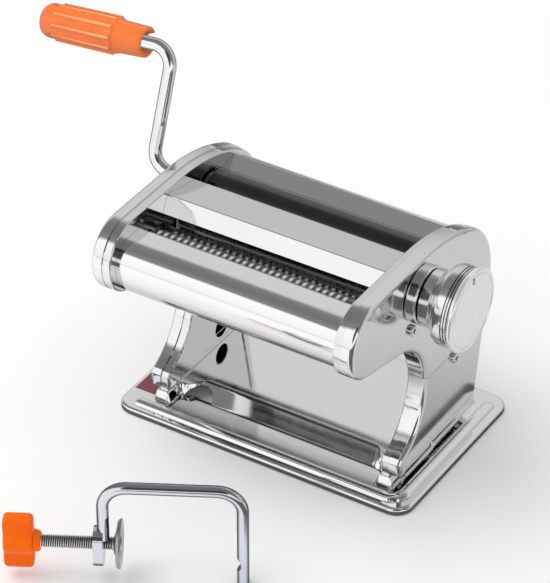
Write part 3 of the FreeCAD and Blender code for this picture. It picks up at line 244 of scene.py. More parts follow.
def lay_grid(name, points, material):
    """A closed skin on a grid of points, rows along the piece and columns round it, its two ends capped."""
    rows, columns = points.shape[:2]
    r, c = np.meshgrid(np.arange(rows - 1), np.arange(columns), indexing="ij")
    n = (c + 1) % columns
    quads = np.stack([r * columns + c, r * columns + n, (r + 1) * columns + n, (r + 1) * columns + c], -1)
    faces = quads.reshape(-1, 4).tolist()
    first = np.arange(columns)
    faces.append(first[::-1].tolist())
    faces.append((first + (rows - 1) * columns).tolist())
    mesh = bpy.data.meshes.new(name)
    mesh.from_pydata(points.reshape(-1, 3).tolist(), [], faces)
    mesh.polygons.foreach_set("use_smooth", np.ones(len(faces), bool))
    mesh.materials.append(material)
    mesh.update()
    made = bpy.data.objects.new(name, mesh)
    bpy.context.scene.collection.objects.link(made)
    return made


base_sheet = sheet_metal("pressed_base_sheet", (0.86, 0.86, 0.87), (0.78, 0.78, 0.79), (22, 700, 700),
                         0.05, 0.11, 0.00005)
base_skin = lay_grid("pressed_base", base_surface(), base_sheet)
mouth_x, mouth_half, mouth_rise = -58.7, 9.3, 5.35
mouth_front, mouth_low, mouth_deep = -37.0, 4.65, 15.0
turn = np.linspace(math.pi, 0, 40)
arch = np.stack([mouth_x + mouth_half * np.cos(turn), np.full_like(turn, mouth_front),
                 mouth_low + mouth_rise * np.sin(turn)], -1)
mouth_cutter = lay_grid("mouth_cutter", np.array([arch, arch + (0, mouth_deep, 0)]) / 1000.0, base_sheet)
cut = base_skin.modifiers.new("clamp_mouth", "BOOLEAN")
cut.object = mouth_cutter
cut.solver = "MANIFOLD"
bpy.context.view_layer.update()
finished = bpy.data.meshes.new_from_object(base_skin.evaluated_get(bpy.context.evaluated_depsgraph_get()))
base_skin.modifiers.clear()
base_skin.data = finished
finished.set_sharp_from_angle(angle=math.radians(38))
bpy.data.objects.remove(mouth_cutter)
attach(base_skin, "frame")
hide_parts("base_plate")


# ---- Rubber feet and the label ----------------------------------------------------------------------------
# Four moulded rubber discs pressed up under the rim, matt black with a fine moulding grain.
# The label is a strip of vinyl in plain dark red, stuck on the left ledge under a thin varnish.
def drifting_tone(tree, place, scale, detail, low, high, top):
    """Colour that drifts between two tones with a wide noise."""
    tone = add(tree, "ShaderNodeValToRGB", {"Fac": noise(tree, place, scale, detail)})
    for stop, position, colour in zip(tone.color_ramp.elements, (0.3, top), (low, high)):
        stop.position = position
        stop.color = (*colour, 1)
    return tone.outputs["Color"]


def moulded(name, low, high, grain, rough, relief):
    """Plain moulded or printed stuff: colour drifts between two tones, and a fine grain roughens it."""
    made = bpy.data.materials.new(name)
    made.use_nodes = True
    tree = made.node_tree
    shader = tree.nodes["Principled BSDF"]
    place = add(tree, "ShaderNodeTexCoord").outputs["Object"]
    tone = drifting_tone(tree, place, 60.0, 4.0, low, high, 0.72)
    fine = noise(tree, place, grain, 2.0)
    tree.links.new(tone, shader.inputs["Base Color"])
    tree.links.new(remap(tree, fine, 0.3, 0.7, *rough), shader.inputs["Roughness"])
    tree.links.new(bumped(tree, fine, relief, 0.7), shader.inputs["Normal"])
    return made


dress(moulded("foot_rubber", (0.012, 0.012, 0.012), (0.035, 0.034, 0.033), 2600.0, (0.55, 0.8), 0.00003),
      "rubber_feet")
label = moulded("label_vinyl", (0.17, 0.012, 0.04), (0.23, 0.02, 0.055), 1800.0, (0.22, 0.34), 0.000004)
label.node_tree.nodes["Principled BSDF"].inputs["Coat Weight"].default_value = 0.5
label.node_tree.nodes["Principled BSDF"].inputs["Coat Roughness"].default_value = 0.08
dress(label, "base_label")
nodes["base_label"].visible_glossy = False


# ---- Side frames ------------------------------------------------------------------------------------------
# Two pressed steel plates with a turned-out flange, chromed and polished; they carry every bearing.
# The web has a raised panel, and its tabs are screwed down on the arms of the base.
frame_metal = sheet_metal("side_frame_chrome", (0.8, 0.8, 0.81), (0.7, 0.7, 0.71), (400, 30, 700),
                          0.07, 0.15, 0.00006)
dress(frame_metal, "side_frame_right", "side_frame_left")


# ---- Tie rods, nuts and foot screws -----------------------------------------------------------------------
# Four turned rods with shouldered ends hold the side frames apart; hexagon nuts close them outside.
# Bright drawn steel with turning marks round each rod.
def off_axis_x(tree, parts):
    """Distance from the X line, from a place's three parts."""
    flat = add(tree, "ShaderNodeCombineXYZ", {"Y": parts["Y"], "Z": parts["Z"]}).outputs[0]
    return add(tree, "ShaderNodeVectorMath", {0: flat}, operation="LENGTH").outputs["Value"]


def make_turned_marks():
    """Lathe marks: noise that changes only along the piece's axis or its radius, given as a coordinate."""
    group, given, out = new_group(
        "turned_marks",
        [("Bright", "Color", (0.7, 0.7, 0.7, 1)), ("Dim", "Color", (0.6, 0.6, 0.6, 1)),
         ("Place", "Vector", (0, 0, 0)), ("Marks", "Float", 4000.0), ("Smoothest", "Float", 0.1),
         ("Dullest", "Float", 0.2), ("Depth", "Float", 0.000002)],
        [("Colour", "Color"), ("Roughness", "Float"), ("Normal", "Vector")])
    own = given.outputs
    parts = add(group, "ShaderNodeSeparateXYZ", {"Vector": own["Place"]}).outputs
    line = add(group, "ShaderNodeCombineXYZ", {"X": parts["X"], "Y": off_axis_x(group, parts)}).outputs[0]
    cloud = noise(group, own["Place"], 90.0, 3.0)
    both = combine(group, "ADD", noise(group, line, 260.0, 2.0), cloud)
    group.links.new(between_colours(group, cloud, own["Dim"], own["Bright"]), out.inputs["Colour"])
    group.links.new(remap(group, both, 0.7, 1.3, own["Smoothest"], own["Dullest"]), out.inputs["Roughness"])
    group.links.new(bumped(group, noise(group, line, own["Marks"], 2.0), own["Depth"], 1.0),
                    out.inputs["Normal"])
    return group


turned_marks = make_turned_marks()


def turned_metal(name, bright, dim, centre, marks, smoothest, dullest, depth, turn=(0, 0, 0)):
    """Bare metal turned on a lathe about the X line through centre, after the turn given."""
    own = {"Bright": (*bright, 1), "Dim": (*dim, 1), "Marks": marks, "Smoothest": smoothest,
           "Dullest": dullest, "Depth": depth}
    made, finish = bare_metal(name, turned_marks, own)
    tree = made.node_tree
    coords = add(tree, "ShaderNodeTexCoord")
    placed = add(tree, "ShaderNodeMapping", {"Vector": coords.outputs["Object"], "Location": centre,
                                             "Rotation": turn}, vector_type="TEXTURE")
    tree.links.new(placed.outputs["Vector"], finish.inputs["Place"])
    return made


dress(turned_metal("tie_rod_steel", (0.68, 0.68, 0.69), (0.56, 0.56, 0.57), (0, 0, 0), 3000.0, 0.14, 0.26,
                   0.000002), "tie_rods")
dress(sheet_metal("zinc_nut", (0.6, 0.61, 0.62), (0.47, 0.48, 0.5), (300, 300, 300), 0.2, 0.38, 0.00001),
      "tie_nuts", "foot_screws", "foot_nuts")


# ---- Bushes -----------------------------------------------------------------------------------------------
# Flanged sintered-bronze bushes pressed into the frames for the fixed roller and the two cutters.
# Dark, with turning marks on their flanges.
fixed_axis, moving_axis = (0, 0.0052, 0.1295), (0, -0.022, 0.1295)
rear_cutter_axis, front_cutter_axis = (0, -0.049, 0.125), (0, -0.064, 0.132)
between_cutters = (0, -0.0565, 0.1285)
for name, centre, node in (("bush_bronze", fixed_axis, "roller_bushes"),
                           ("cutter_bush_bronze", between_cutters, "cutter_bushes")):
    dress(turned_metal(name, (0.3, 0.265, 0.21), (0.2, 0.175, 0.14), centre, 3600.0, 0.2, 0.36, 0.000002),
          node)


# ---- Feed rollers -----------------------------------------------------------------------------------------
# Two ground steel rollers, mirror smooth, with the finest grinding lines round them. Their very dark colour
# is painted shade, standing in for the dark down between the covers.
# The rear one turns in the frames, the front one rides in the sliding blocks.
# Painted shade: the rollers' colour is set very dark.
for name, centre, node in (("fixed_roller_steel", fixed_axis, "feed_roller_fixed"),
                           ("moving_roller_steel", moving_axis, "feed_roller_moving")):
    dress(turned_metal(name, (0.12, 0.12, 0.123), (0.08, 0.08, 0.082), centre, 2400.0, 0.09, 0.16, 0.0000012),
          node)


# ---- Gears ------------------------------------------------------------------------------------------------
# Hobbed steel gears on the roller and cutter journals, closed in between each frame and its cover.
# Plain steel, darker and duller than the chrome.
cutter_gears = ("cutter_gear_front", "cutter_gear_rear")
for name, centre, pair in (("gear_steel", fixed_axis, ("drive_gear", "driven_gear")),
                           ("cutter_gear_steel", front_cutter_axis, cutter_gears)):
    dress(turned_metal(name, (0.5, 0.49, 0.47), (0.3, 0.29, 0.28), centre, 1800.0, 0.25, 0.45, 0.000004),
          *pair)


# ---- Bearing blocks and yoke ------------------------------------------------------------------------------
# Two die-cast blocks slide in the frames' windows and carry the moving roller; a flat bar joins them below.
# Cast zinc, satin grey with a fine cast skin.
dress(sheet_metal("block_zinc", (0.52, 0.52, 0.53), (0.4, 0.4, 0.41), (500, 500, 500), 0.3, 0.5, 0.00001),
      "bearing_block_right", "bearing_block_left", "yoke_bar")


# ---- Scrapers ---------------------------------------------------------------------------------------------
# Thin spring-steel blades under the rollers, one on the frames and one on the moving blocks.
# Ground along their length.
dress(sheet_metal("scraper_steel", (0.66, 0.66, 0.67), (0.54, 0.54, 0.55), (20, 2200, 2200), 0.12, 0.25,
                  0.00002), "scraper_fixed", "scraper_moving")


# ---- Cutter rollers and combs -----------------------------------------------------------------------------
# Two ringed rollers whose rings run in each other's grooves and cut the noodles; combs strip the grooves.
# Turned steel, satin on the ring faces; the combs are plain ground sheet.
for name, centre, node in (("cutter_front_steel", front_cutter_axis, "cutter_roller_front"),
                           ("cutter_rear_steel", rear_cutter_axis, "cutter_roller_rear")):
    dress(turned_metal(name, (0.9, 0.9, 0.91), (0.78, 0.78, 0.79), centre, 5200.0, 0.16, 0.3, 0.000003), node)
dress(sheet_metal("comb_steel", (0.66, 0.66, 0.67), (0.5, 0.5, 0.51), (300, 600, 600), 0.15, 0.3, 0.00001),
      "comb_front", "comb_rear")


# ---- Rear cover, centre guide and front cover -------------------------------------------------------------
# Three bent sheets between the frames: the back and roof, the strip between rollers and cutters, the nose.
# Mirror-polished stainless outside, with the faintest streaks along their width from the polishing belt.
# The back's hidden face is left as it came from the mill, pale and matt.
rear_sheet = sheet_metal("rear_cover_sheet", (0.84, 0.84, 0.85), (0.76, 0.76, 0.77), (14, 600, 600), 0.05,
                         0.1, 0.00006)
tree = rear_sheet.node_tree
shader = tree.nodes["Principled BSDF"]
facing = add(tree, "ShaderNodeSeparateXYZ", {0: add(tree, "ShaderNodeTexCoord").outputs["Normal"]})
forward = remap(tree, facing.outputs["Y"], -0.8, -0.9)
polish = shader.inputs["Roughness"].links[0].from_socket
milled = combine(tree, "MULTIPLY", forward, 0.4)
tree.links.new(combine(tree, "ADD", polish, milled), shader.inputs["Roughness"])
tree.links.new(remap(tree, forward, 0.0, 1.0, 1.0, 0.25), shader.inputs["Metallic"])
dress(rear_sheet, "rear_cover")
dress(sheet_metal("guide_sheet", (0.84, 0.84, 0.85), (0.75, 0.75, 0.76), (14, 700, 700), 0.05, 0.11, 0.00004),
      "centre_guide")
dress(sheet_metal("nose_sheet", (0.86, 0.86, 0.87), (0.79, 0.79, 0.8), (12, 600, 600), 0.05, 0.1, 0.00005),
      "front_cover")


# ---- Head covers, leg panels and their screws -------------------------------------------------------------
# Shallow pressed trays close the gear spaces: a head cover and a leg panel on each side, rims turned in.
# Polished stainless; round-headed screws go through them into tapped pillars on the webs.
head_sheet = sheet_metal("head_cover_sheet", (0.84, 0.84, 0.85), (0.74, 0.74, 0.75), (500, 18, 500), 0.06,
                         0.13, 0.00008)
dress(head_sheet, "head_cover_right", "head_cover_left")
leg_sheet = sheet_metal("leg_panel_sheet", (0.82, 0.82, 0.83), (0.72, 0.72, 0.73), (500, 500, 18), 0.06,
                        0.13, 0.00008)
dress(leg_sheet, "leg_panel_right", "leg_panel_left")
dress(sheet_metal("cover_screw_chrome", (0.8, 0.8, 0.81), (0.66, 0.66, 0.67), (400, 400, 400), 0.08, 0.18,
                  0.00001), "cover_screws_right", "cover_screws_left")
dress(turned_metal("pillar_steel", (0.6, 0.6, 0.61), (0.48, 0.48, 0.49), (0, -0.037, 0.1138), 3000.0, 0.2,
                   0.35, 0.000003), "cover_pillars_right", "cover_pillars_left", "dial_bush",
      "dial_stop_washer")
dress(turned_metal("bezel_chrome", (0.8, 0.8, 0.81), (0.68, 0.68, 0.69), (0, 0.0052, 0.1295), 3000.0, 0.08,
                   0.16, 0.000002), "socket_bezels")


# ---- Gap dial ---------------------------------------------------------------------------------------------
# Turned alloy knob on a steel shaft: narrow neck that flares to a wide drum with two fine grooves, and a cap
# with a rounded bead round its pale satin face. An unnumbered line on the face shows the setting.
dial_centre = moving_axis
drum_r, groove_r, groove_width = 24.6, 24.0, 0.9
grooves_from = 0.109


def turned_surface(profile, centre, count=128):
    """A profile of (x, radius) pairs in millimetres, carried round the X line through centre."""
    x, r = np.array(profile).T[:, :, None] / 1000.0
    around = np.linspace(0, 2 * math.pi, count, endpoint=False)[None, :]
    y, z = centre[1] + r * np.sin(around), centre[2] + r * np.cos(around)
    return np.stack(np.broadcast_arrays(x, y, z), -1)


def eased(x0, r0, x1, r1, steps):
    """Profile points from one radius to another along half a cosine, for a flare with no edge."""
    share = np.linspace(0, 1, steps)
    return list(zip(x0 + (x1 - x0) * share, r0 + (r1 - r0) * (1 - np.cos(share * math.pi)) / 2))


def tint(tree, shader, shade):
    """Multiplies the colour that a shader already takes by a shade."""
    tone = shader.inputs["Base Color"].links[0].from_socket
    toned = add(tree, "ShaderNodeMix", {0: 1.0, 6: tone, 7: shade}, data_type="RGBA", blend_type="MULTIPLY")
    tree.links.new(toned.outputs[2], shader.inputs["Base Color"])


def darken_where(material, measure, dark_below, clear_above, darkest):
    """Darkens a turned piece below some place along its axis or some radius, clearing by a second one: a
    painted shade.
    """
    tree = material.node_tree
    parts = add(tree, "ShaderNodeSeparateXYZ", {0: tree.nodes["Mapping"].outputs["Vector"]}).outputs
    value = parts["X"] if measure == "along" else off_axis_x(tree, parts)
    tint(tree, tree.nodes["Principled BSDF"], remap(tree, value, dark_below, clear_above, darkest, 1.0))


drum_alloy = turned_metal("dial_drum_alloy", (0.84, 0.84, 0.84), (0.76, 0.76, 0.76), dial_centre, 5200.0,
                          0.09, 0.17, 0.0000025)
drum_profile = [(113.0, 4.1), (91.0, 4.1), (91.0, 16.6), (91.1, 17.1), (91.5, 17.5)]
drum_profile += eased(97.0, 17.6, 103.6, 23.6, 14) + [(104.2, 24.1), (105.0, 24.4), (106.2, 24.55)]
for groove_x in (109.6, 111.3):
    drum_profile += [(groove_x, drum_r), (groove_x + 0.15, groove_r),
                     (groove_x + groove_width - 0.15, groove_r), (groove_x + groove_width, drum_r)]
drum_profile += [(112.9, drum_r), (113.3, 24.2), (113.4, 23.6), (113.4, 4.2)]
drum = lay_grid("dial_drum", turned_surface(drum_profile, dial_centre), drum_alloy)
drum.data.set_sharp_from_angle(angle=math.radians(40))
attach(drum, "knob")
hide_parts("dial_knob")
dress(drum_alloy, "dial_collar")
# Painted shade: a copy of the drum's finish, nearly black below the drum's radius on the faces past the
# grooves' start, so the two grooves and the drum's edge at the cap read dark.
groove_shade_alloy = drum_alloy.copy()
darken_where(groove_shade_alloy, "radius", 0.0238, 0.0245, 0.04)
drum.data.materials.append(groove_shade_alloy)
centres = np.empty(len(drum.data.polygons) * 3)
drum.data.polygons.foreach_get("center", centres)
drum.data.polygons.foreach_set("material_index", (centres[::3] > grooves_from).astype(np.int32))

cap_alloy = turned_metal("dial_cap_alloy", (0.93, 0.93, 0.93), (0.89, 0.89, 0.89), dial_centre, 1500.0, 0.2,
                         0.3, 0.0000005)
cap_alloy.node_tree.nodes["Principled BSDF"].inputs["Metallic"].default_value = 0.6
# Painted shade: the cap darkens next to the drum, along the gap between them.
darken_where(cap_alloy, "along", 0.11345, 0.1141, 0.04)
bead = [(115.3 + 1.9 * math.sin(a), 23.7 + 1.9 * math.cos(a)) for a in np.linspace(-1.2, math.pi / 2, 12)]
cap_profile = [(113.4, 0.8), (113.4, 24.2)] + bead
cap_profile += [(117.15, 23.2), (116.7, 22.9), (116.6, 22.6), (116.7, 22.3), (117.1, 22.0), (117.2, 21.6),
                (117.2, 12.0), (117.2, 0.8)]
cap = lay_grid("dial_cap_face", turned_surface(cap_profile, dial_centre), cap_alloy)
cap.data.set_sharp_from_angle(angle=math.radians(50))
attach(cap, "knob")
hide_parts("dial_cap")
dress(turned_metal("dial_shaft_steel", (0.62, 0.62, 0.63), (0.5, 0.5, 0.51), dial_centre, 3600.0, 0.15, 0.3,
                   0.000003), "dial_shaft", "dial_cam", "dial_spring")
dress(moulded("dial_mark_paint", (0.2, 0.2, 0.2), (0.3, 0.3, 0.3), 2200.0, (0.35, 0.5), 0.00001),
      "dial_mark")


# ---- Crank ------------------------------------------------------------------------------------------------
# One 8 mm steel rod, bent twice and chromed; a cross pin near its end drives the roller's slotted socket.
# Bright chrome with a faint mottle, and painted shade darkening it towards the rod's sides.
def painted_side_shade(material, darkest, begins, ends):
    """Painted shade: base colour falls towards the silhouette as the camera sees it, between two facing
    values.
    It follows the camera, and the exported model doesn't keep it."""
    tree = material.node_tree
    facing = add(tree, "ShaderNodeLayerWeight", {"Blend": 0.5}).outputs["Facing"]
    shade = remap(tree, facing, begins, ends, 1.0, darkest, "SMOOTHSTEP")
    tint(tree, tree.nodes["Principled BSDF"], shade)
    return material


crank_chrome = sheet_metal("crank_chrome", (0.84, 0.84, 0.85), (0.76, 0.76, 0.77), (120, 120, 120), 0.05, 0.1,
                           0.00001)
# Painted shade: the crank rod's colour darkens towards its sides as the camera sees them.
dress(painted_side_shade(crank_chrome, 0.25, 0.4, 0.7), "crank_arm")
dress(sheet_metal("grip_washer_steel", (0.6, 0.6, 0.61), (0.5, 0.5, 0.51), (300, 300, 300), 0.2, 0.35,
                  0.00001), "grip_washer")


# ---- Grip -------------------------------------------------------------------------------------------------
# Moulded orange plastic: smooth hollow neck with a notch in its mouth, a barrel with ten thin raised ribs,
# and a domed end. It turns freely on the crank's rod. The ribs' crests carry a painted highlight in a paler
# orange, and painted shade darkens the grip towards its silhouette as the camera sees it.
grip_lean = math.radians(20.0)
grip_droop = math.radians(4.8)
arm_plane = -0.1155
arm_throw = 0.073
socket_y, socket_z = 0.0052, 0.1295
neck_start = 0.0175
grip_end = neck_start + 0.073
neck_r = 0.0094
barrel_r = 0.0110
rib_top_r = 0.0120
rib_half = 0.00085
rib_count = 10
rib_span = (0.0385, 0.0795)
bore_r = 0.00412
mouth_wall = 0.0020
notch_half = 0.62
notch_deep = 0.0062


def place_on(base, along, side, other, s, u, v):
    """Points base + s along + u side + v other, with whole arrays for s, u and v."""
    return base + s[..., None] * along + u[..., None] * side + v[..., None] * other


arm_up = np.array([0.0, math.sin(grip_lean), math.cos(grip_lean)])
grip_side = np.array([0.0, math.cos(grip_lean), -math.sin(grip_lean)])
elbow = np.array([arm_plane, socket_y, socket_z]) + arm_throw * arm_up
grip_along = -math.cos(grip_droop) * np.array([1.0, 0, 0]) - math.sin(grip_droop) * arm_up
grip_other = np.cross(grip_along, grip_side)


def grip_surface():
    """Radius is a smooth profile along the grip; each rib adds its height inside a narrow angle and its span,
    with steep flanks; the mouth's rim is pushed back inside the notch by a rounded cosine."""
    outside = np.array([
        (neck_start, neck_r - 0.0012), (neck_start + 0.0002, neck_r - 0.0004),
        (neck_start + 0.0007, neck_r),
        (neck_start + 0.006, neck_r + 0.0002), (neck_start + 0.012, neck_r + 0.0004),
        (neck_start + 0.0188, neck_r + 0.0006), (neck_start + 0.0196, neck_r + 0.0008),
        (neck_start + 0.0202, barrel_r - 0.0003), (neck_start + 0.0206, barrel_r),
        (rib_span[0] - 0.0001, barrel_r)])
    ribs_s = np.concatenate([[rib_span[0], rib_span[0] + 0.00015],
                             np.linspace(rib_span[0] + 0.0004, rib_span[1] - 0.0006, 22),
                             [rib_span[1] - 0.00015, rib_span[1]]])
    dome_turn = np.linspace(0, math.pi / 2, 12)[1:]
    dome_r = 0.0065
    dome = np.stack([grip_end - dome_r + dome_r * np.sin(dome_turn),
                     barrel_r - 0.0004 - dome_r + dome_r * np.cos(dome_turn)], -1)
    s = np.concatenate([outside[:, 0], ribs_s, [grip_end - dome_r], dome[:, 0], [grip_end]])
    taper = barrel_r - 0.0004 * np.clip((ribs_s - rib_span[0]) / (grip_end - dome_r - rib_span[0]), 0, 1)
    r = np.concatenate([outside[:, 1], taper, [barrel_r - 0.0004], dome[:, 1], [0.0028]])
    inner = np.array([(grip_end - 0.0022, 0.0010), (grip_end - 0.0022, bore_r + 0.0016),
                      (grip_end - 0.006, bore_r + 0.0016), (grip_end - 0.006, bore_r),
                      (neck_start + 0.0165, bore_r), (neck_start + 0.0165, neck_r - 0.0026),
                      (neck_start + 0.008, neck_r - 0.0023), (neck_start + 0.0012, neck_r - mouth_wall),
                      (neck_start + 0.0002, neck_r - 0.0017)])
    s = np.concatenate([inner[:, 0], s])
    r = np.concatenate([inner[:, 1], r])
    offsets = np.array([-1.35, -1.0, -0.72, 0.72, 1.0, 1.35])
    lift = np.array([0, 0.55, 1, 1, 0.55, 0])
    pitch = 2 * math.pi / rib_count
    half = rib_half / barrel_r
    between = np.linspace(half * 1.35, pitch - half * 1.35, 6)[1:-1]
    turn = np.concatenate([np.concatenate([offsets * half, between]) + pitch * k for k in range(rib_count)])
    height = np.tile(np.concatenate([lift, np.zeros(4)]), rib_count)
    ss, tt = np.meshgrid(s, turn, indexing="ij")
    rr = np.repeat(r[:, None], len(turn), 1)
    inside_span = ((ss > rib_span[0] + 0.0001) & (ss < rib_span[1] - 0.0001)).astype(float)
    outer_row = (np.arange(len(s)) >= len(inner))[:, None]
    rr = rr + (rib_top_r - barrel_r) * height[None, :] * inside_span * outer_row
    swing = np.abs((tt + math.pi) % (2 * math.pi) - math.pi)
    cut = np.where(swing < notch_half, np.cos(swing / notch_half * math.pi / 2) ** 0.5, 0.0)
    near = np.clip(1 - (ss - neck_start) / 0.0105, 0, 1)
    ss = ss + notch_deep * cut * near
    return place_on(elbow, grip_along, grip_side, grip_other, ss, rr * np.cos(tt), rr * np.sin(tt))


def orange_plastic(name, low, high, rough, gloss):
    """Injection-moulded orange: slow drift of tone, faint flow lines, spark-eroded skin and a soft gloss."""
    made = bpy.data.materials.new(name)
    made.use_nodes = True
    tree = made.node_tree
    shader = tree.nodes["Principled BSDF"]
    shader.inputs["Subsurface Weight"].default_value = 0.08
    shader.inputs["Subsurface Radius"].default_value = (0.004, 0.0015, 0.0005)
    shader.inputs["Specular IOR Level"].default_value = gloss
    place = add(tree, "ShaderNodeTexCoord").outputs["Object"]
    tone = drifting_tone(tree, place, 45.0, 3.0, low, high, 0.7)
    grain = noise(tree, place, 2400.0, 2.0)
    both = combine(tree, "ADD", grain, noise(tree, place, 160.0, 4.0))
    tree.links.new(tone, shader.inputs["Base Color"])
    tree.links.new(remap(tree, both, 0.7, 1.3, *rough), shader.inputs["Roughness"])
    tree.links.new(bumped(tree, grain, 0.000006, 0.8), shader.inputs["Normal"])
    return made


orange = orange_plastic("grip_orange", (0.9, 0.17, 0.026), (0.95, 0.22, 0.04), (0.2, 0.32), 0.5)
crest_highlight_orange = (1.0, 0.44, 0.15, 1)
tree = orange.node_tree
shader = tree.nodes["Principled BSDF"]
tone = shader.inputs["Base Color"].links[0].from_socket
place = add(tree, "ShaderNodeTexCoord").outputs["Object"]
from_elbow = add(tree, "ShaderNodeVectorMath", {0: place, 1: tuple(elbow)}, operation="SUBTRACT")
off_axis = add(tree, "ShaderNodeVectorMath", {0: from_elbow.outputs[0], 1: tuple(grip_along)},
               operation="CROSS_PRODUCT")
reach = add(tree, "ShaderNodeVectorMath", {0: off_axis.outputs[0]}, operation="LENGTH").outputs["Value"]
crest = remap(tree, reach, barrel_r + 0.0004, rib_top_r - 0.0001)
# Painted highlight: the ribs' crests take a paler orange.
tree.links.new(between_colours(tree, crest, tone, crest_highlight_orange), shader.inputs["Base Color"])
# Painted shade: the grip's colour darkens towards its silhouette as the camera sees it.
painted_side_shade(orange, 0.65, 0.4, 0.95)
grip = lay_grid("ribbed_grip", grip_surface(), orange)
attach(grip, "grip")
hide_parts("crank_grip")
grip.visible_glossy = False


# ---- Table clamp ------------------------------------------------------------------------------------------
# A bent steel rod, chromed, with a notch near its hooked end and its other leg flattened into a tapped eye.
# It stands loose on the table beside the machine.
clamp_chrome = sheet_metal("clamp_chrome", (0.7, 0.72, 0.75), (0.6, 0.62, 0.66), (150, 150, 150), 0.05, 0.12,
                           0.00002)
# Painted shade: the clamp bar's colour goes nearly black towards its silhouette as the camera sees it.
dress(painted_side_shade(clamp_chrome, 0.08, 0.3, 0.55), "clamp_bar")
clamp_turn = math.radians(28.5)
clamp_along = np.array([math.cos(clamp_turn), math.sin(clamp_turn), 0.0])
clamp_across = np.array([-math.sin(clamp_turn), math.cos(clamp_turn), 0.0])
clamp_up = np.array([0.0, 0.0, 1.0])
screw_base = np.array([0.0511, -0.1582, 0.0248])
leg_at = -0.078
knob_far = leg_at - 0.056
dress(turned_metal("clamp_pad_steel", (0.42, 0.42, 0.43), (0.3, 0.3, 0.31), tuple(screw_base), 2600.0, 0.28,
                   0.42, 0.000004, (0, 0, clamp_turn)), "clamp_pad")


# ---- Clamp screw ------------------------------------------------------------------------------------------
# An 8 mm screw with a rolled coarse thread, necked and riveted over where the pad swivels.
# Bright zinc-plated steel, with painted shade darkening it down in the thread.
thread_r = 0.00395
thread_pitch = 0.00125
thread_depth = 0.00085
screw_from = knob_far + 0.006
screw_to = leg_at + 0.006


def screw_surface():
    """Radius falls from the crest by the thread's depth times a rounded V of (distance over pitch less turn);
    the depth fades at both ends, then the profile runs on as the plain neck and the rivet's head."""
    round_count = 40
    s = np.linspace(screw_from + 0.0002, screw_to - 0.0002, int((screw_to - screw_from) / thread_pitch * 9))
    turn = np.arange(round_count) * 2 * math.pi / round_count
    ss, tt = np.meshgrid(s, turn, indexing="ij")
    phase = (ss / thread_pitch - tt / (2 * math.pi)) % 1.0
    valley = np.clip(1.15 - np.abs(phase - 0.5) * 3.0, 0, 1)
    fade = np.clip((ss - screw_from) / 0.002, 0, 1) * np.clip((screw_to - ss) / 0.0015, 0, 1)
    rr = thread_r - thread_depth * valley * fade
    neck = 0.0024
    tail = np.array([(screw_to - 0.0001, thread_r - 0.0001), (screw_to, thread_r - 0.0004), (screw_to, neck),
                     (screw_to + 0.0034, neck), (screw_to + 0.0034, 0.0040), (screw_to + 0.0041, 0.0040),
                     (screw_to + 0.0045, 0.0034), (screw_to + 0.0046, 0.0020)])
    head = np.array([(screw_from, thread_r - 0.0003)])
    ss = np.concatenate([np.repeat(head[:, :1], round_count, 1), ss, np.repeat(tail[:, :1], round_count, 1)])
    rr = np.concatenate([np.repeat(head[:, 1:], round_count, 1), rr, np.repeat(tail[:, 1:], round_count, 1)])
    tt = np.repeat(turn[None, :], len(ss), 0)
    return place_on(screw_base, clamp_along, clamp_up, clamp_across, ss, rr * np.cos(tt), rr * np.sin(tt))


screw_metal = turned_metal("thread_steel", (0.74, 0.74, 0.74), (0.6, 0.6, 0.61), tuple(screw_base), 3000.0,
                           0.14, 0.24, 0.000001, (0, 0, clamp_turn))
# Painted shade: nearly black in the thread's valleys, clearing towards the crests.
darken_where(screw_metal, "radius", thread_r - thread_depth, thread_r - 0.0001, 0.03)
screw = lay_grid("threaded_screw", screw_surface()[:, ::-1], screw_metal)
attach(screw, "clamp_spindle")
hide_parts("clamp_screw")


# ---- Clamp knob -------------------------------------------------------------------------------------------
# Moulded orange wing knob on the screw's end: two thick wings on a round hub that tapers to the screw.
# Its edges are well rounded, and the wings thin a little away from the hub.
wing_half = 0.0172
wing_thick = 0.0046
hub_r = 0.0074


def wing_outline(turn):
    """Plan radius of the knob at each angle: the larger of a rounded bar's and the hub's, softly joined."""
    bar = (np.abs(np.cos(turn) / wing_half) ** 7 + np.abs(np.sin(turn) / wing_thick) ** 7) ** (-1 / 7)
    return (bar ** 9 + hub_r ** 9) ** (1 / 9)


def knob_surface():
    """Rows along the screw: each is the outline drawn in by a quarter-round at the edges, then blended into
    the hub's shrinking circle."""
    turn = np.linspace(0, 2 * math.pi, 144, endpoint=False)
    plan = wing_outline(turn)
    rounding = np.linspace(0, math.pi / 2, 7)
    edge = 0.0026
    rows = [(0.0, 0.0072, 0.0)]
    rows += [(edge - edge * math.cos(a), edge - edge * math.sin(a), 0.0) for a in rounding]
    rows += [(0.0062, 0.0, 0.0), (0.0105, 0.0, 0.0)]
    rows += [(0.0143 + edge * math.sin(a), edge - edge * math.cos(a), 0.0) for a in rounding]
    rows += [(0.0170, 0.0034, 0.55), (0.0172, 0.0, 0.85), (0.0175, 0.0, 1.0)]
    rows = np.array(rows)
    drawn_in = plan[None, :] - rows[:, 1:2] * np.minimum(1, plan[None, :] / 0.012) ** 0.5
    rr = drawn_in * (1 - rows[:, 2:3]) + rows[:, 2:3] * 0.0066
    boss = np.array([(0.0182, 0.0064), (0.0200, 0.0060), (0.0206, 0.0056), (0.0210, 0.0048),
                     (0.0210, 0.0039)])
    rr = np.concatenate([rr, np.repeat(boss[:, 1:], len(turn), 1)])
    s = np.concatenate([rows[:, 0], boss[:, 0]]) + knob_far
    ss = np.repeat(s[:, None], len(turn), 1)
    rr = np.maximum(rr, 0.0002)
    tt = np.repeat(turn[None, :], len(s), 0)
    return place_on(screw_base, clamp_along, clamp_up, clamp_across, ss, rr * np.cos(tt), rr * np.sin(tt))


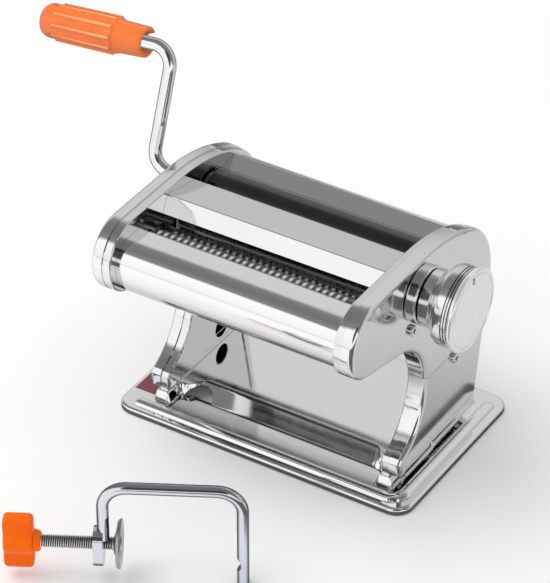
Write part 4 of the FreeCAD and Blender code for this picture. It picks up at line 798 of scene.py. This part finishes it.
knob_orange = orange_plastic("knob_orange", (0.97, 0.12, 0.0), (1.0, 0.165, 0.001), (0.34, 0.46), 0.12)
wing_knob = lay_grid("wing_knob", knob_surface()[:, ::-1], knob_orange)
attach(wing_knob, "clamp_spindle")
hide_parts("clamp_knob")
wing_knob.visible_glossy = False


# ---- Floor ------------------------------------------------------------------------------------------------
# A wide matt table top, nearly white to the eye. Mirror rays meet a different and mostly darker one, a
# painted reflection that is brightest in front of the nose and falls away behind, with painted shadow
# where it touches the base.
floor_paint = bpy.data.materials.new("pale_table")
floor_paint.use_nodes = True
paint = floor_paint.node_tree
matt = paint.nodes["Principled BSDF"]
matt.inputs["Roughness"].default_value = 0.9
matt.inputs["Specular IOR Level"].default_value = 0.0
spot = add(paint, "ShaderNodeSeparateXYZ", {0: add(paint, "ShaderNodeTexCoord").outputs["Object"]})


def fade(value, start, end, to_start=0.0, to_end=1.0):
    """A smooth step of a number between two places."""
    return remap(paint, value, start, end, to_start, to_end, "SMOOTHSTEP")


def times(a, b):
    return combine(paint, "MULTIPLY", a, b)


in_front = fade(spot.outputs["Y"], -0.05, -0.16)
deepest = 3.0
fall = add(paint, "ShaderNodeValToRGB", {"Fac": remap(paint, spot.outputs["Y"], 0.0, deepest)})
fall.color_ramp.elements[0].color = (0.74, 0.74, 0.74, 1)
fall.color_ramp.elements[1].color = (0.38, 0.38, 0.38, 1)
for at, level in ((0.5, 0.7), (1.4, 0.42)):
    fall.color_ramp.elements.new(at / deepest).color = (level, level, level, 1)
card = add(paint, "ShaderNodeMix", {0: in_front, 2: fall.outputs["Color"], 3: 1.1}, data_type="FLOAT")
# Painted shade for mirror rays only: the floor darkens in front on the camera's side, and towards the far
# left.
camera_side = times(in_front, fade(spot.outputs["X"], 0.07, 0.13))
far_left = times(fade(spot.outputs["X"], -0.15, -0.28), fade(spot.outputs["Y"], -0.06, 0.02))
# Painted shadow for mirror rays only: the floor darkens to a fifth close round the base's outline.
beyond_x = add(paint, "ShaderNodeMath", {0: spot.outputs["X"]}, operation="ABSOLUTE").outputs[0]
beyond_y = add(paint, "ShaderNodeMath", {0: spot.outputs["Y"]}, operation="ABSOLUTE").outputs[0]
beyond = add(paint, "ShaderNodeCombineXYZ", {"X": fade(beyond_x, 0.1, 0.14, 0.0, 0.04),
                                             "Y": fade(beyond_y, 0.064, 0.104, 0.0, 0.04)})
reach = add(paint, "ShaderNodeVectorMath", {0: beyond.outputs[0]}, operation="LENGTH").outputs["Value"]
shaded = times(times(fade(camera_side, 0.0, 1.0, 1.0, 0.14), fade(far_left, 0.0, 1.0, 1.0, 0.5)),
               fade(reach, 0.0012, 0.005, 0.2, 1.0))
mirrored_level = times(card.outputs[0], shaded)
seen = add(paint, "ShaderNodeLightPath")
shade = add(paint, "ShaderNodeMix", {0: seen.outputs["Is Glossy Ray"], 2: 0.965, 3: mirrored_level},
            data_type="FLOAT")
grey = add(paint, "ShaderNodeCombineXYZ", dict.fromkeys(("X", "Y", "Z"), shade.outputs[0]))
paint.links.new(grey.outputs[0], matt.inputs["Base Color"])
lit = times(seen.outputs["Is Camera Ray"], 0.03)
matt.inputs["Emission Color"].default_value = (1, 1, 1, 1)
paint.links.new(lit, matt.inputs["Emission Strength"])
board = bpy.data.meshes.new("table_top")
board.from_pydata([(-8, -8, 0), (8, -8, 0), (8, 8, 0), (-8, 8, 0)], [], [(0, 1, 2, 3)])
board.materials.append(floor_paint)
table = bpy.data.objects.new("table_top", board)
bpy.context.scene.collection.objects.link(table)


# ---- Studio light -----------------------------------------------------------------------------------------
# A pale tent: even light for matt things, and long soft boxes and gaps over it that only mirror rays meet.
# For mirror rays it also has a dark flag in one fixed direction, the one in which the main camera stands.
world = bpy.data.worlds.new("studio_tent")
bpy.context.scene.world = world
world.use_nodes = True
sky = world.node_tree
sky.nodes.clear()
look = add(sky, "ShaderNodeSeparateXYZ", {"Vector": add(sky, "ShaderNodeTexCoord").outputs["Generated"]})
front = combine(sky, "MULTIPLY", look.outputs["Y"], -1.0)
climb = combine(sky, "ARCTAN2", look.outputs["Z"], front)
boxes = add(sky, "ShaderNodeValToRGB", {"Fac": combine(sky, "DIVIDE", climb, math.pi)})
stops = [(0, 1.1), (46, 1.2), (54, 0.26), (62, 0.26), (75, 0.2), (105, 0.22), (118, 0.28), (126, 0.5),
         (133, 0.74), (140, 0.74), (150, 0.7), (163, 0.64), (172, 0.55), (180, 0.48)]
ramp = boxes.color_ramp
ramp.elements[0].position = stops[0][0] / 180
ramp.elements[0].color = (stops[0][1],) * 3 + (1,)
ramp.elements[1].position = 1.0
ramp.elements[1].color = (stops[-1][1],) * 3 + (1,)
for degrees, level in stops[1:-1]:
    ramp.elements.new(degrees / 180).color = (level, level, level, 1)
towards_camera = add(sky, "ShaderNodeVectorMath", {0: look.inputs[0].links[0].from_socket,
                                                   1: (0.43, -0.69, 0.58)}, operation="DOT_PRODUCT")
flag = remap(sky, towards_camera.outputs["Value"], 0.9, 0.95, 1.0, 0.07, "SMOOTHSTEP")
mirrored_tent = add(sky, "ShaderNodeBackground", {"Color": boxes.outputs["Color"], "Strength": flag})
plain_tent = add(sky, "ShaderNodeBackground", {"Color": (1, 1, 1, 1), "Strength": 0.78})
back_paper = add(sky, "ShaderNodeBackground", {"Color": (0.97, 0.97, 0.97, 1), "Strength": 1.0})
kind = add(sky, "ShaderNodeLightPath")
first = add(sky, "ShaderNodeMixShader", {0: kind.outputs["Is Glossy Ray"], 1: plain_tent.outputs[0],
                                         2: mirrored_tent.outputs[0]})
second = add(sky, "ShaderNodeMixShader", {0: kind.outputs["Is Camera Ray"], 1: first.outputs[0],
                                          2: back_paper.outputs[0]})
add(sky, "ShaderNodeOutputWorld", {"Surface": second.outputs[0]})

lamp = bpy.data.lights.new("top_soft_box", "AREA")
lamp.shape = "SQUARE"
lamp.size = 1.2
lamp.energy = 12.0
lamp_stand = bpy.data.objects.new("top_soft_box", lamp)
lamp_stand.location = (-0.7, -0.5, 1.8)
aim = Vector((0, 0, 0.08)) - Vector(lamp_stand.location)
lamp_stand.rotation_euler = aim.to_track_quat("-Z", "Y").to_euler()
lamp_stand.visible_glossy = False
bpy.context.scene.collection.objects.link(lamp_stand)

bpy.context.scene.view_settings.view_transform = "Standard"


# ---- Camera -----------------------------------------------------------------------------------------------
# Far away with a long lens, above and to the right of the machine's nose.
eye = bpy.data.cameras.new("camera")
eye.sensor_width = 36.0
focal_pixels, picture_pixels = 3475.0, 583.0
eye.lens = focal_pixels * eye.sensor_width / picture_pixels
eye.clip_start = 0.05
eye.clip_end = 60.0
camera = bpy.data.objects.new("camera", eye)
camera.location = (0.8536, -1.4118, 1.2691)
camera.rotation_euler = Vector((-0.4298, 0.6894, -0.5831)).to_track_quat("-Z", "Y").to_euler()
bpy.context.scene.collection.objects.link(camera)
bpy.context.scene.camera = camera
